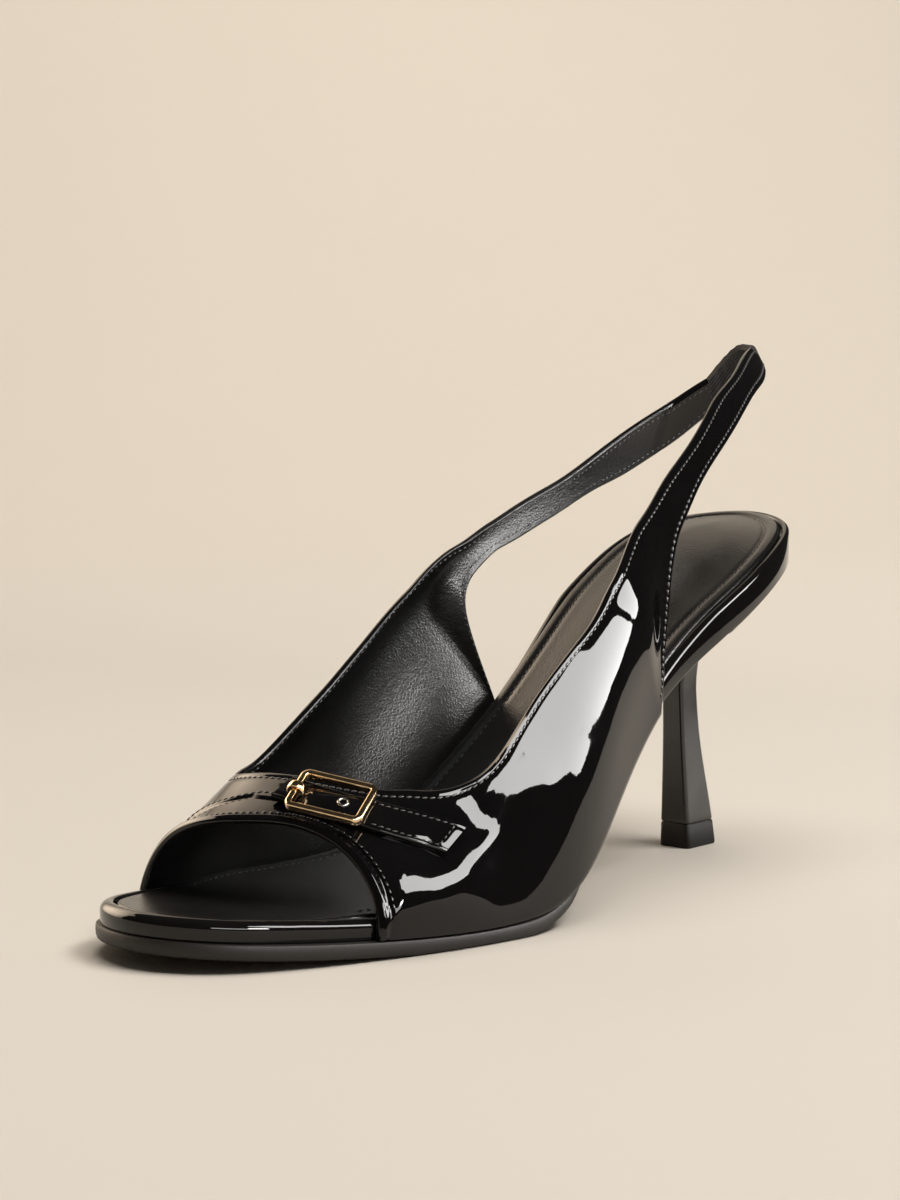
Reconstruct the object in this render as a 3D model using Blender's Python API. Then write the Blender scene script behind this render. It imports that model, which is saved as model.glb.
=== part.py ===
"""Open-toe slingback sandal, left shoe, on a flared heel.

Lengths are in millimetres in the tables and become metres when a mesh is made.  A place on the shoe is
given by its station (forward from the heel's back), its side (lateral is positive) and its height.
"""
import math

import bmesh
import bpy
import numpy as np

MM = 0.001
GAP = 0.3                       # clearance between pieces that touch
ORIGIN_STATION = 118.1          # the middle of the shoe's box is the origin
ORIGIN_SIDE = 1.5

# Plan of the last at the feather line: station, lateral side, medial side
PLAN = (
    (3.5, 8.0, -14.0),
    (14, 19.0, -23.5),
    (32, 26.0, -27.5),
    (56, 28.0, -25.0),
    (84, 29.5, -20.5),
    (110, 35.5, -21.5),
    (134, 41.0, -28.8),
    (155, 40.4, -35.2),
    (176, 36.2, -38.2),
    (195, 30.0, -37.7),
    (213, 22.5, -33.8),
    (227, 13.0, -27.2),
)
HEEL_BACK = (0.0, -3.5)         # station and side of the seat's rearmost point
TOE_TIP = (236.0, -7.4)

# Feather line from the side: station, height over the floor
PROFILE = (
    (0, 79.7), (22, 74.7), (45, 65.5), (68, 55.0), (92, 40.5), (115, 23.0),
    (136, 8.0), (156, 3.8), (178, 3.8), (205, 5.3), (236, 7.8),
)

# Sections of the last: station, height over the feather line, side of the ridge, fullness, medial swell
SECTIONS = (
    (0, 54.0, -2.0, 2.0, 0.0),
    (14, 57.5, -1.5, 2.0, 0.0),
    (28, 61.5, -1.0, 2.0, 0.5),
    (42, 67.5, 0.0, 2.0, 1.8),
    (58, 79.0, 0.0, 2.0, 3.4),
    (78, 98.0, 0.0, 2.05, 6.3),
    (98, 106.0, 0.0, 2.15, 7.2),
    (115, 95.0, -2.0, 2.25, 6.0),
    (135, 75.0, -6.0, 2.25, 3.0),
    (150, 60.0, -10.0, 2.2, 0.8),
    (165, 47.5, -13.0, 2.2, 0.0),
    (180, 36.5, -12.5, 2.15, 0.0),
    (195, 27.5, -8.5, 2.1, 0.0),
    (207, 22.8, -6.5, 2.1, 0.0),
    (222, 18.0, -6.5, 2.1, 0.0),
    (236.5, 12.0, -7.4, 2.1, 0.0),
)

# Cut of the upper, from the end of the lateral strap round the toe to the end of the medial strap:
# edge that the row ends on, top station, top turn, low station, low turn.  Turn is the angle round the
# section, 0 at the lateral feather line, 90 at the ridge and 180 at the medial feather line.
UPPER_ROWS = (
    ("strap", 8.4, 79.8, 5.0, 60.5),
    ("strap", 19.7, 70.3, 13.5, 56.0),
    ("strap", 30.5, 62.6, 23.0, 52.5),
    ("strap", 42.4, 56.1, 33.5, 47.5),
    ("strap", 52.1, 48.5, 43.5, 42.0),
    ("strap", 61.0, 41.4, 53.0, 36.4),
    ("strap", 70.0, 35.9, 61.5, 31.0),
    ("strap", 79.5, 31.8, 69.0, 25.7),
    ("strap", 88.0, 29.2, 74.5, 21.9),
    ("strap", 96.0, 28.7, 78.3, 17.2),
    ("strap", 103.0, 28.2, 80.6, 12.3),
    ("strap", 108.5, 28.5, 83.5, 6.0),
    ("corner", 113.5, 29.2, 86.7, 0.0),
    ("feather", 120.0, 31.5, 99.0, 0.0),
    ("feather", 128.0, 35.7, 114.0, 0.0),
    ("feather", 138.0, 39.5, 131.0, 0.0),
    ("feather", 148.0, 39.1, 148.0, 0.0),
    ("feather", 158.0, 38.2, 164.0, 0.0),
    ("feather", 167.4, 42.3, 180.0, 0.0),
    ("corner", 173.5, 49.5, 194.3, 0.0),
    ("opening", 177.4, 55.1, 193.7, 22.0),
    ("opening", 180.3, 62.5, 194.6, 45.0),
    ("opening", 182.6, 71.5, 198.0, 68.0),
    ("opening", 184.4, 86.0, 203.0, 88.0),
    ("opening", 184.9, 98.0, 205.0, 108.0),
    ("opening", 183.8, 110.0, 204.3, 131.0),
    ("opening", 180.8, 121.5, 204.2, 156.0),
    ("corner", 176.5, 127.0, 205.5, 180.0),
    ("feather", 170.0, 132.5, 194.0, 180.0),
    ("feather", 162.0, 130.5, 178.0, 180.0),
    ("feather", 153.2, 128.1, 161.0, 180.0),
    ("feather", 144.0, 130.0, 144.0, 180.0),
    ("feather", 136.0, 134.8, 127.0, 180.0),
    ("feather", 128.5, 139.8, 109.0, 180.0),
    ("corner", 121.5, 144.3, 91.0, 180.0),
    ("strap", 117.5, 146.4, 95.5, 172.8),
    ("strap", 113.5, 148.0, 98.8, 166.5),
    ("strap", 109.0, 149.8, 99.8, 162.0),
    ("strap", 104.0, 151.7, 97.3, 160.0),
    ("strap", 98.5, 153.4, 92.5, 159.6),
    ("strap", 91.0, 154.2, 86.5, 159.4),
    ("strap", 80.0, 154.0, 77.0, 159.5),
    ("strap", 62.0, 150.7, 61.0, 157.6),
    ("strap", 44.0, 144.7, 44.5, 155.0),
    ("strap", 29.5, 139.0, 30.5, 154.2),
    ("strap", 19.3, 133.9, 19.0, 151.0),
    ("strap", 13.0, 128.0, 11.5, 146.0),
    ("strap", 9.5, 123.6, 5.5, 138.5),
)
UPPER_STEPS = 2                 # mesh rows for each row of the cut
UPPER_WALL = 1.8
UPPER_PROUD = 0.6               # the outer face stands this far outside the last
# Binding round the toe opening, sunk below the vamp's stitched edge: low turn, width
BINDING = ((0, 3.6), (50, 3.8), (70, 8.0), (90, 11.5), (120, 9.5), (180, 6.0))
BINDING_SINK = 0.5
RIM_ROLL = 0.3                  # the rolled rim stands proud again
# slack of the wall: row of the cut, spread in rows, share of the way down, bulge
SLACK = ((12.0, 3.2, 0.35, 1.2), (33.5, 4.0, 0.42, 3.0))

# Elastic that joins the two strap ends behind the heel: top station, top turn, low station, low turn
GORE_ROWS = (
    (9.5, 123.6, 5.5, 138.5),
    (7.6, 111.0, 2.6, 124.0),
    (7.0, 97.0, 2.0, 98.0),
    (8.4, 79.8, 5.0, 60.5),
)
GORE_WALL = 1.2
GORE_TRIM = 0.12                # share of the first and last row left clear of the strap ends
GORE_MARGIN = 0.08              # share of the strap's width left clear at each edge

# Outsole: station, thickness, side margin beyond the last
OUTSOLE = (
    (52, 1.8, -4.0),
    (95, 1.8, -4.4),
    (118, 2.2, -3.8),
    (136, 3.4, -0.6),
    (150, 4.0, 0.5),
    (200, 3.8, 0.5),
    (236, 3.7, 0.2),
)
OUTSOLE_CHAMFER = 0.9

# Insole board: station, thickness, side margin
BOARD = (
    (0, 6.4, 0.0),
    (58, 6.8, 0.0),
    (84, 5.9, -1.55),
    (130, 4.6, -1.55),
    (180, 4.6, -1.55),
    (212, 5.0, -1.6),
    (236, 5.2, -0.4),
)
BOARD_ROUND = 2.2

# Padded sock: station, thickness, side margin
SOCK = (
    (0, 2.6, -1.0),
    (60, 2.4, -1.4),
    (95, 1.6, -3.4),
    (180, 1.5, -3.6),
    (214, 1.5, -4.4),
    (236, 1.5, -8.0),
)
SOCK_ROUND = 0.8

# Heel stem: height, front station, back station, half width at the front and at the back
STEM = (
    (0.0, 40.0, 26.6, 4.9, 5.0),
    (7.0, 40.1, 27.7, 4.6, 4.6),
    (19.0, 40.6, 30.2, 4.0, 3.9),
    (31.0, 41.1, 32.6, 3.5, 3.4),
    (43.0, 41.6, 34.0, 3.3, 3.3),
)
STEM_SIDE = 0.4                 # side of the stem's middle
TIP_HEIGHT = 6.6
# Heel cup between stem and seat: share of the way out in plan, share of the way up
CUP = (
    (0.02, 0.20),
    (0.07, 0.36),
    (0.18, 0.50),
    (0.38, 0.63),
    (0.64, 0.77),
    (0.86, 0.89),
    (0.97, 0.965),
    (1.0, 1.0),
)
SEAT_FRONT = 51.0               # station where the heel meets the sole
SEAT_MARGIN = -0.6

# Decorative tab and its buckle on the vamp: station and turn along the middle of the tab
TAB_PATH = ((189.8, 81.0), (189.4, 70.0), (187.6, 59.0), (184.7, 50.5), (180.1, 40.3), (171.0, 26.6))
TAB_WIDTH = 9.4
TAB_SKEW = 0.42                 # the tail is cut on a slant
TAB_THICK = 1.5
TAB_DOME = 1.0                  # the tab bulges through the buckle
BUCKLE_SHARE = 0.35             # place of the buckle's middle along the tab
BUCKLE_LENGTH = 19.2
BUCKLE_BREADTH = 13.2
BUCKLE_BAR = 1.5
BUCKLE_HEIGHT = 1.7
BUCKLE_CORNER = 2.2
BUCKLE_BOW = 120.0              # radius of the frame along the tab
PRONG_WIRE = 0.55
PRONG_LENGTH = 2.2


def spline(xs, ys, x, periodic=False):
    """Cubic spline through a table, natural at its ends or closed on itself."""
    xs = np.asarray(xs, float)
    ys = np.asarray(ys, float)
    flat = ys.reshape(len(xs), -1)
    x = np.atleast_1d(np.asarray(x, float))
    step = np.diff(xs)
    count = len(xs) - 1 if periodic else len(xs)
    matrix = np.eye(count)
    right = np.zeros((count, flat.shape[1]))
    for i in range(0 if periodic else 1, count if periodic else count - 1):
        before = step[i - 1]
        after = step[i]
        prior = flat[i - 1] if i else flat[count - 1]
        matrix[i, i] = 2 * (before + after)
        matrix[i, (i - 1) % count] = before
        matrix[i, (i + 1) % count] = after
        right[i] = 6 * ((flat[i + 1] - flat[i]) / after - (flat[i] - prior) / before)
    bend = np.linalg.solve(matrix, right)
    if periodic:
        bend = np.vstack([bend, bend[:1]])
        x = (x - xs[0]) % (xs[-1] - xs[0]) + xs[0]
    i = np.clip(np.searchsorted(xs, x, side="right") - 1, 0, len(xs) - 2)
    t = (x - xs[i])[:, None]
    g = step[i][:, None]
    slope = (flat[i + 1] - flat[i]) / g - g * (2 * bend[i] + bend[i + 1]) / 6
    out = flat[i] + t * (slope + t * (bend[i] / 2 + t * (bend[i + 1] - bend[i]) / (6 * g)))
    return out.reshape((len(x),) + ys.shape[1:])


def smooth(x, low, high):
    """Ease from 0 at low to 1 at high."""
    t = np.clip((np.asarray(x, float) - low) / (high - low), 0, 1)
    return t * t * (3 - 2 * t)


def feather(station):
    """Height of the feather line."""
    return spline([row[0] for row in PROFILE], [row[1] for row in PROFILE], station)


def plan_sides(samples=2400):
    """Lateral and medial halves of the plan as (station, side) rows, heel to toe."""
    lateral = [(row[0], row[1]) for row in PLAN]
    medial = [(row[0], row[2]) for row in reversed(PLAN)]
    loop = np.array([HEEL_BACK] + lateral + [TOE_TIP] + medial + [HEEL_BACK], float)
    along = np.concatenate([[0], np.cumsum(np.hypot(*np.diff(loop, axis=0).T))])
    ring = spline(along, loop, np.linspace(0, along[-1], samples, endpoint=False), periodic=True)
    ring = np.roll(ring, -int(np.argmin(ring[:, 0])), axis=0)
    toe = int(np.argmax(ring[:, 0]))
    return ring[:toe + 1], np.vstack([ring[toe:], ring[:1]])[::-1]


LATERAL, MEDIAL = plan_sides()


def side_of(half, station):
    """Side of one half of the plan at a station."""
    return np.interp(station, half[:, 0], half[:, 1])


def last(station, turn):
    """Points on the last for stations and turns in degrees."""
    station = np.asarray(station, float)
    angle = np.radians(np.clip(turn, 0, 180))
    table = np.array(SECTIONS)
    columns = spline(table[:, 0], table[:, 1:], station.ravel())
    height, ridge, full, swell = (column.reshape(station.shape) for column in columns.T)
    cosine = np.cos(angle)
    edge = np.where(cosine >= 0, side_of(LATERAL, station), side_of(MEDIAL, station))
    side = ridge + (edge - ridge) * np.abs(cosine) ** (2 / full)
    side -= np.where(cosine < 0, swell * np.abs(np.sin(2 * angle)), 0)
    rise = height * np.clip(np.sin(angle), 0, 1) ** (2 / full)
    return np.stack([station, side, feather(station.ravel()).reshape(station.shape) + rise], -1)


def outward(grid, centre_height):
    """Unit normals of a grid of points, turned away from the middle of the shoe."""
    along = np.gradient(grid, axis=0)
    across = np.gradient(grid, axis=1)
    normal = np.cross(along, across)
    normal /= np.linalg.norm(normal, axis=-1, keepdims=True)
    middle = np.stack([grid[..., 0], np.zeros(grid.shape[:2]), np.full(grid.shape[:2], centre_height)], -1)
    return normal * np.sign(((grid - middle) * normal).sum(-1).mean())


def to_world(points):
    """Shoe places in millimetres to world places in metres: toe to -Y, lateral to +X."""
    points = np.asarray(points, float)
    x = points[..., 1] - ORIGIN_SIDE
    y = ORIGIN_STATION - points[..., 0]
    return np.stack([x, y, points[..., 2]], -1) * MM


def make_object(name, points, faces, material, sharp=40):
    """A closed mesh object from shoe places."""
    mesh = bpy.data.meshes.new(name)
    mesh.from_pydata([tuple(p) for p in to_world(points)], [], faces)
    work = bmesh.new()
    work.from_mesh(mesh)
    bmesh.ops.remove_doubles(work, verts=work.verts, dist=1e-6)
    bmesh.ops.recalc_face_normals(work, faces=work.faces)
    work.to_mesh(mesh)
    work.free()
    mesh.shade_smooth()
    mesh.set_sharp_from_angle(angle=math.radians(sharp))
    mesh.materials.append(material)
    obj = bpy.data.objects.new(name, mesh)
    bpy.context.collection.objects.link(obj)
    return obj


def make_material(name, colour, roughness, metallic=0.0, coat=0.0):
    """A plain surface with the photograph's colour and gloss."""
    material = bpy.data.materials.new(name)
    material.use_nodes = True
    shader = material.node_tree.nodes["Principled BSDF"]
    shader.inputs["Base Color"].default_value = (*colour, 1)
    shader.inputs["Roughness"].default_value = roughness
    shader.inputs["Metallic"].default_value = metallic
    shader.inputs["Coat Weight"].default_value = coat
    return material


def stations_between(start, end, count):
    """Stations that crowd towards both ends, where the outline turns."""
    share = (1 - np.cos(np.linspace(0, np.pi, count))) / 2
    return start + (end - start) * share


def offset_outline(stations, margin):
    """Lateral and medial outlines at stations, moved outward by a margin along the plan's normal."""
    halves = []
    for half, sign in ((LATERAL, 1), (MEDIAL, -1)):
        side = side_of(half, stations)
        fine = np.array([np.interp(stations, half[:, 0], np.gradient(half[:, k])) for k in (0, 1)])
        fine /= np.hypot(*fine)
        halves.append(np.stack([stations - sign * fine[1] * margin, side + sign * fine[0] * margin], -1))
    return halves


def ruled_slab(name, table, stations, lower, upper, levels, material):
    """A slab whose section at each station is level: levels are (share of thickness, inset)."""
    margin = np.interp(stations, [row[0] for row in table], [row[2] for row in table])
    count = len(stations)
    points = []
    for share, inset in levels:
        lateral, medial = offset_outline(stations, margin - inset)
        for half in (lateral, medial):
            bottom = lower(half[:, 0])
            height = bottom + share * (upper(half[:, 0]) - bottom)
            points.append(np.column_stack([half, height]))
    points = np.array(points)
    index = np.arange(points.shape[0] * count).reshape(points.shape[0], count)
    rim = [index[2 * k] for k in range(len(levels))] + [index[2 * k + 1] for k in reversed(range(len(levels)))]
    faces = []
    for one, two in zip(rim, rim[1:] + rim[:1]):
        for i in range(count - 1):
            faces.append((one[i], one[i + 1], two[i + 1], two[i]))
    for end in (0, count - 1):
        for k in range(len(levels) - 1):
            low, high = index[2 * k], index[2 * k + 2]
            low_m, high_m = index[2 * k + 1], index[2 * k + 3]
            faces.append((low[end], high[end], high_m[end], low_m[end]))
    return make_object(name, points.reshape(-1, 3), faces, material)


def thickness(table):
    """Thickness of a slab as a function of station."""
    return lambda station: np.interp(station, [row[0] for row in table], [row[1] for row in table])


def rounded(share, radius, steps=3):
    """Levels of a rounded upper rim: from share of the thickness to the top."""
    levels = []
    for k in range(steps + 1):
        angle = math.pi / 2 * k / steps
        levels.append((share + (1 - share) * math.sin(angle), radius * (1 - math.cos(angle))))
    return levels


def build_outsole(material):
    """Rubber outsole with a flat tread under the ball and a thin waist."""
    thick = thickness(OUTSOLE)
    stations = stations_between(OUTSOLE[0][0], TOE_TIP[0] - 0.03, 46)
    bottom = lambda s: np.maximum(feather(s) - GAP / 2 - thick(s), 0)
    top = lambda s: feather(s) - GAP / 2
    levels = [(0, OUTSOLE_CHAMFER), (0.25, 0.15), (0.9, 0), (1, 0.25)]
    return ruled_slab("outsole", OUTSOLE, stations, bottom, top, levels, material)


def build_board(material):
    """Covered insole board: wall of the heel seat behind, rounded lip at the toe."""
    thick = thickness(BOARD)
    stations = stations_between(0.03, TOE_TIP[0] - 0.03, 62)
    bottom = lambda s: feather(s) + GAP / 2
    top = lambda s: feather(s) + GAP / 2 + thick(s)
    levels = [(0, 0.7), (0.14, 0.1)] + rounded(0.55, BOARD_ROUND)
    return ruled_slab("insole_board", BOARD, stations, bottom, top, levels, material)


def build_sock(material):
    """Padded sock on the board, set back from the toe lip."""
    board = thickness(BOARD)
    thick = thickness(SOCK)
    stations = stations_between(0.03, TOE_TIP[0] - 0.03, 58)
    bottom = lambda s: feather(s) + GAP * 1.5 + board(s)
    top = lambda s: bottom(s) + thick(s)
    levels = [(0, 0.15)] + rounded(0.35, SOCK_ROUND, 2)
    return ruled_slab("insole", SOCK, stations, bottom, top, levels, material)


def stem_ring(height, count_back, count_front):
    """Ring of the heel's stem: along one flank, round the back, along the other flank, across the breast."""
    table = np.array(STEM)
    front, back, wide_front, wide_back = spline(table[:, 0], table[:, 1:], height)[0]
    bevel = 0.28 * wide_back
    path = np.array([
        (front, wide_front), (back + bevel, wide_back), (back, wide_back - bevel * 1.3),
        (back, -wide_back + bevel * 1.3), (back + bevel, -wide_back), (front, -wide_front),
    ])
    knots = np.array([0, 0.3, 0.4, 0.6, 0.7, 1.0])
    share = np.linspace(0, 1, count_back)
    ring = [(np.interp(s, knots, path[:, 0]), np.interp(s, knots, path[:, 1])) for s in share]
    for k in range(1, count_front):
        ring.append((front, -wide_front + 2 * wide_front * k / count_front))
    return np.array(ring) + (0, STEM_SIDE)


def seat_ring(count_back, count_front):
    """Ring of the heel seat under the board."""
    stations = stations_between(0.1, SEAT_FRONT, 60)
    lateral, medial = offset_outline(stations, np.full(60, SEAT_MARGIN))
    loop = np.vstack([lateral[::-1], medial[1:]])
    along = np.concatenate([[0], np.cumsum(np.hypot(*np.diff(loop, axis=0).T))])
    share = np.linspace(0, along[-1], count_back)
    ring = [(np.interp(s, along, loop[:, 0]), np.interp(s, along, loop[:, 1])) for s in share]
    first = np.array(ring[0])
    final = np.array(ring[-1])
    ring += [tuple(final + (first - final) * k / count_front) for k in range(1, count_front)]
    return np.array(ring)


def close_rings(name, rings, material, sharp):
    """A loft through rings of equal size, capped flat or along its own surface."""
    rings = np.array(rings)
    levels, count = rings.shape[:2]
    faces = []
    for k in range(levels - 1):
        for i in range(count):
            j = (i + 1) % count
            faces.append((k * count + i, k * count + j, (k + 1) * count + j, (k + 1) * count + i))
    faces.append(list(range(count)))
    return rings.reshape(-1, 3), faces, (levels - 1) * count, count


def build_heel(material):
    """Flared stem that opens into a cup under the seat."""
    back, front = 31, 7
    rings = []
    for height in (TIP_HEIGHT + GAP, 13, 19, 25, 31, 37, 43):
        flat = stem_ring(height, back, front)
        rings.append(np.column_stack([flat, np.full(len(flat), height)]))
    seat = seat_ring(back, front)
    seat_height = feather(seat[:, 0]) - GAP / 2
    stem = rings[-1]
    for out, up in CUP:
        flat = stem[:, :2] + (seat - stem[:, :2]) * out
        rings.append(np.column_stack([flat, stem[:, 2] + (seat_height - stem[:, 2]) * up]))
    points, faces, start, count = close_rings("heel", rings, material, 35)
    # The seat is level across the shoe, so strips from flank to flank cap it
    half = back // 2
    for i in range(half):
        a, b = start + i, start + i + 1
        c, d = start + back - 2 - i, start + back - 1 - i
        faces.append((a, b, c, d) if i < half - 1 else (a, b, d))
    faces.append([start + i for i in (back - 1, *range(back, count), 0)])
    return make_object("heel", points, faces, material, 35)


def build_tip(material):
    """Rubber top piece under the stem."""
    rings = []
    for height, swell in ((0, 0.97), (0.5, 1.0), (TIP_HEIGHT, 1.0)):
        flat = stem_ring(height, 13, 4)
        middle = flat.mean(axis=0)
        flat = middle + (flat - middle) * swell
        rings.append(np.column_stack([flat, np.full(len(flat), height)]))
    points, faces, start, count = close_rings("heel_tip", rings, material, 35)
    faces.append([start + i for i in range(count)])
    return make_object("heel_tip", points, faces, material, 35)


def upper_cut(steps):
    """Top and low edges of the upper's cut, splined row by row, and how far each row is on the opening."""
    rows = len(UPPER_ROWS)
    place = np.linspace(0, rows - 1, (rows - 1) * steps + 1)
    table = np.array([row[1:] for row in UPPER_ROWS])
    top = spline(np.arange(rows), table[:, :2], place)
    corners = [0] + [i for i, row in enumerate(UPPER_ROWS) if row[0] == "corner"] + [rows - 1]
    low = np.zeros((len(place), 2))
    for start, end in zip(corners[:-1], corners[1:]):
        inside = (place >= start) & (place <= end)
        low[inside] = spline(np.arange(start, end + 1), table[start:end + 1, 2:], place[inside])
    opening = (place >= corners[2]) & (place <= corners[3])
    return top, low, opening


def wall_object(name, outer, inner, material):
    """A closed wall between two grids of equal size."""
    rows, columns = outer.shape[:2]
    points = np.concatenate([outer.reshape(-1, 3), inner.reshape(-1, 3)])
    out = np.arange(rows * columns).reshape(rows, columns)
    into = out + rows * columns
    faces = []
    for i in range(rows - 1):
        for j in range(columns - 1):
            faces.append((out[i, j], out[i + 1, j], out[i + 1, j + 1], out[i, j + 1]))
            faces.append((into[i, j], into[i, j + 1], into[i + 1, j + 1], into[i + 1, j]))
        for j in (0, columns - 1):
            faces.append((out[i, j], into[i, j], into[i + 1, j], out[i + 1, j]))
    for j in range(columns - 1):
        for i in (0, rows - 1):
            faces.append((out[i, j], out[i, j + 1], into[i, j + 1], into[i, j]))
    return make_object(name, points, faces, material, 50)


def slack(place, share):
    """How far the wall bulges off the last, nothing at its edges."""
    bulge = np.zeros(share.shape)
    for row, spread, peak, height in SLACK:
        power = 2 * peak / (1 - peak)
        shape = (share / peak) ** power * ((1 - share) / (1 - peak)) ** 2
        bulge += height * np.exp(-((place - row) / spread) ** 2)[:, None] * shape
    return bulge


def build_upper(material):
    """Vamp, quarters and sling straps in one wall, open at throat, toe, heel and underneath."""
    top, low, opening = upper_cut(UPPER_STEPS)
    reach = np.linalg.norm(last(*top.T) - last(*low.T), axis=1)
    width = np.interp(low[:, 1], *np.array(BINDING).T)
    step = 1 - width / np.maximum(reach, 1.7 * width)
    shares = [step * k / 6 for k in range(7)]
    shares += [step + (1 - step) * k for k in (0.12, 0.6, 0.82, 1.0)]
    share = np.stack(shares, 1)[..., None]
    grid = top[:, None] * (1 - share) + low[:, None] * share
    surface = last(grid[..., 0], grid[..., 1])
    normal = outward(surface, 45)
    normal[:, -1] = np.where((low[:, 1:] <= 0) | (low[:, 1:] >= 180), flatten(normal[:, -1]), normal[:, -1])
    raised = np.zeros(grid.shape[:2])
    raised[opening, 7:] = (-BINDING_SINK, -BINDING_SINK, RIM_ROLL, 0)
    lift = np.array([0, 0, GAP / 2])
    place = np.linspace(0, len(UPPER_ROWS) - 1, len(top))
    surface = surface + normal * slack(place, share[..., 0])[..., None]
    outer = surface + normal * (UPPER_PROUD + raised)[..., None] + lift
    inner = surface + normal * (UPPER_PROUD - UPPER_WALL) + lift
    return wall_object("upper", outer, inner, material)


def flatten(normal):
    """Normals laid level, for an edge that stands on the sole."""
    level = normal * (1, 1, 0)
    return level / np.linalg.norm(level, axis=-1, keepdims=True)


def build_gore(material):
    """Elastic between the strap ends."""
    table = np.array(GORE_ROWS)
    place = np.linspace(GORE_TRIM, len(table) - 1 - GORE_TRIM, 13)
    edges = spline(np.arange(len(table)), table, place)
    share = np.linspace(GORE_MARGIN, 1 - GORE_MARGIN, 4)[None, :, None]
    grid = edges[:, None, :2] * (1 - share) + edges[:, None, 2:] * share
    surface = last(grid[..., 0], grid[..., 1])
    normal = outward(surface, 110)
    outer = surface + normal * (UPPER_PROUD - 0.3)
    return wall_object("elastic_gore", outer, outer - normal * GORE_WALL, material)


def tab_frames(count):
    """Points, outward normals and sideways directions along the middle of the tab, on the upper's face."""
    path = np.array(TAB_PATH)
    place = np.linspace(0, len(path) - 1, count)
    middle = spline(np.arange(len(path)), path, place)
    small = 0.05
    point = last(*middle.T)
    ahead = last(middle[:, 0] + small, middle[:, 1]) - point
    round_ = last(middle[:, 0], middle[:, 1] + small) - point
    normal = np.cross(round_, ahead)
    normal /= np.linalg.norm(normal, axis=1, keepdims=True)
    normal *= np.sign(normal[:, 2:])
    along = np.gradient(point, axis=0)
    along /= np.linalg.norm(along, axis=1, keepdims=True)
    side = np.cross(normal, along)
    return point + normal * (UPPER_PROUD + GAP) + (0, 0, GAP / 2), normal, along, side


def build_tab(material):
    """Tab that runs through the buckle and ends on the lateral side."""
    point, normal, along, side = tab_frames(33)
    run = np.concatenate([[0], np.cumsum(np.linalg.norm(np.diff(point, axis=0), axis=1))])
    middle = BUCKLE_SHARE * run[-1]
    bulge = TAB_DOME * np.exp(-((run - middle) / (BUCKLE_LENGTH * 0.27)) ** 2)
    across = np.linspace(-0.5, 0.5, 5)
    base = point[:, None] + side[:, None] * (across * TAB_WIDTH)[None, :, None]
    slant = smooth(run / run[-1], 0.7, 1.0)[:, None] * across * TAB_WIDTH * TAB_SKEW
    base = base + along[:, None] * slant[..., None]
    crown = np.cos(across * math.pi)[None, :, None]
    face = base + normal[:, None] * (TAB_THICK + bulge[:, None, None] * crown)
    return wall_object("vamp_tab", face, base, material)


def buckle_place():
    """Middle, outward, along and side directions of the buckle."""
    point, normal, along, side = tab_frames(121)
    i = int(round(BUCKLE_SHARE * 120))
    return point[i] + normal[i] * (TAB_THICK + 1.5 * GAP), normal[i], along[i], side[i]


def build_buckle(material):
    """Rounded rectangular frame round the tab."""
    centre, normal, along, side = buckle_place()
    loop = []
    for k in range(4):
        turn = math.pi / 2 * k
        cx = (BUCKLE_LENGTH / 2 - BUCKLE_CORNER) * (1 if k in (0, 3) else -1)
        cy = (BUCKLE_BREADTH / 2 - BUCKLE_CORNER) * (1 if k in (0, 1) else -1)
        for j in range(5):
            angle = turn + math.pi / 2 * j / 4
            loop.append((cx, cy, math.cos(angle), math.sin(angle)))
    loop = np.array(loop)
    rings = []
    profile = ((0, 0), (0, 0.55), (0.3, 0.95), (0.7, 1), (1, 0.5), (1, 0))
    for inset, up in profile:
        reach = BUCKLE_CORNER - BUCKLE_BAR * inset
        flat = loop[:, :2] + loop[:, 2:] * reach
        bow = flat[:, 0] ** 2 / (2 * BUCKLE_BOW)
        ring = centre + flat[:, :1] * along + flat[:, 1:] * side + np.outer(up * BUCKLE_HEIGHT - bow, normal)
        rings.append(ring)
    rings = np.array(rings)
    count = len(loop)
    faces = []
    for k in range(len(rings)):
        n = (k + 1) % len(rings)
        for i in range(count):
            j = (i + 1) % count
            faces.append((k * count + i, k * count + j, n * count + j, n * count + i))
    return make_object("buckle_frame", rings.reshape(-1, 3), faces, material)


def build_prong(material):
    """Loop of the prong round the buckle's first bar."""
    centre, normal, along, side = buckle_place()
    bar = centre - along * (BUCKLE_LENGTH / 2 - BUCKLE_BAR / 2) + normal * (BUCKLE_HEIGHT / 2 - 0.55)
    reach_along = BUCKLE_BAR / 2 + GAP + PRONG_WIRE
    reach_up = BUCKLE_HEIGHT / 2 + GAP + PRONG_WIRE
    rings = []
    for i in range(9):
        turn = math.radians(-12 + 204 * i / 8)
        middle = bar + along * (reach_along * math.cos(turn)) + normal * (reach_up * math.sin(turn))
        out = along * math.cos(turn) + normal * math.sin(turn)
        ring = []
        for j in range(8):
            angle = math.pi / 4 * j
            ring.append(middle + out * (PRONG_WIRE * math.cos(angle)) + side * (PRONG_LENGTH / 2 * math.sin(angle)))
        rings.append(ring)
    points, faces, start, count = close_rings("buckle_prong", rings, material, 35)
    faces.append([start + i for i in range(count)])
    return make_object("buckle_prong", points, faces, material)


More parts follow.
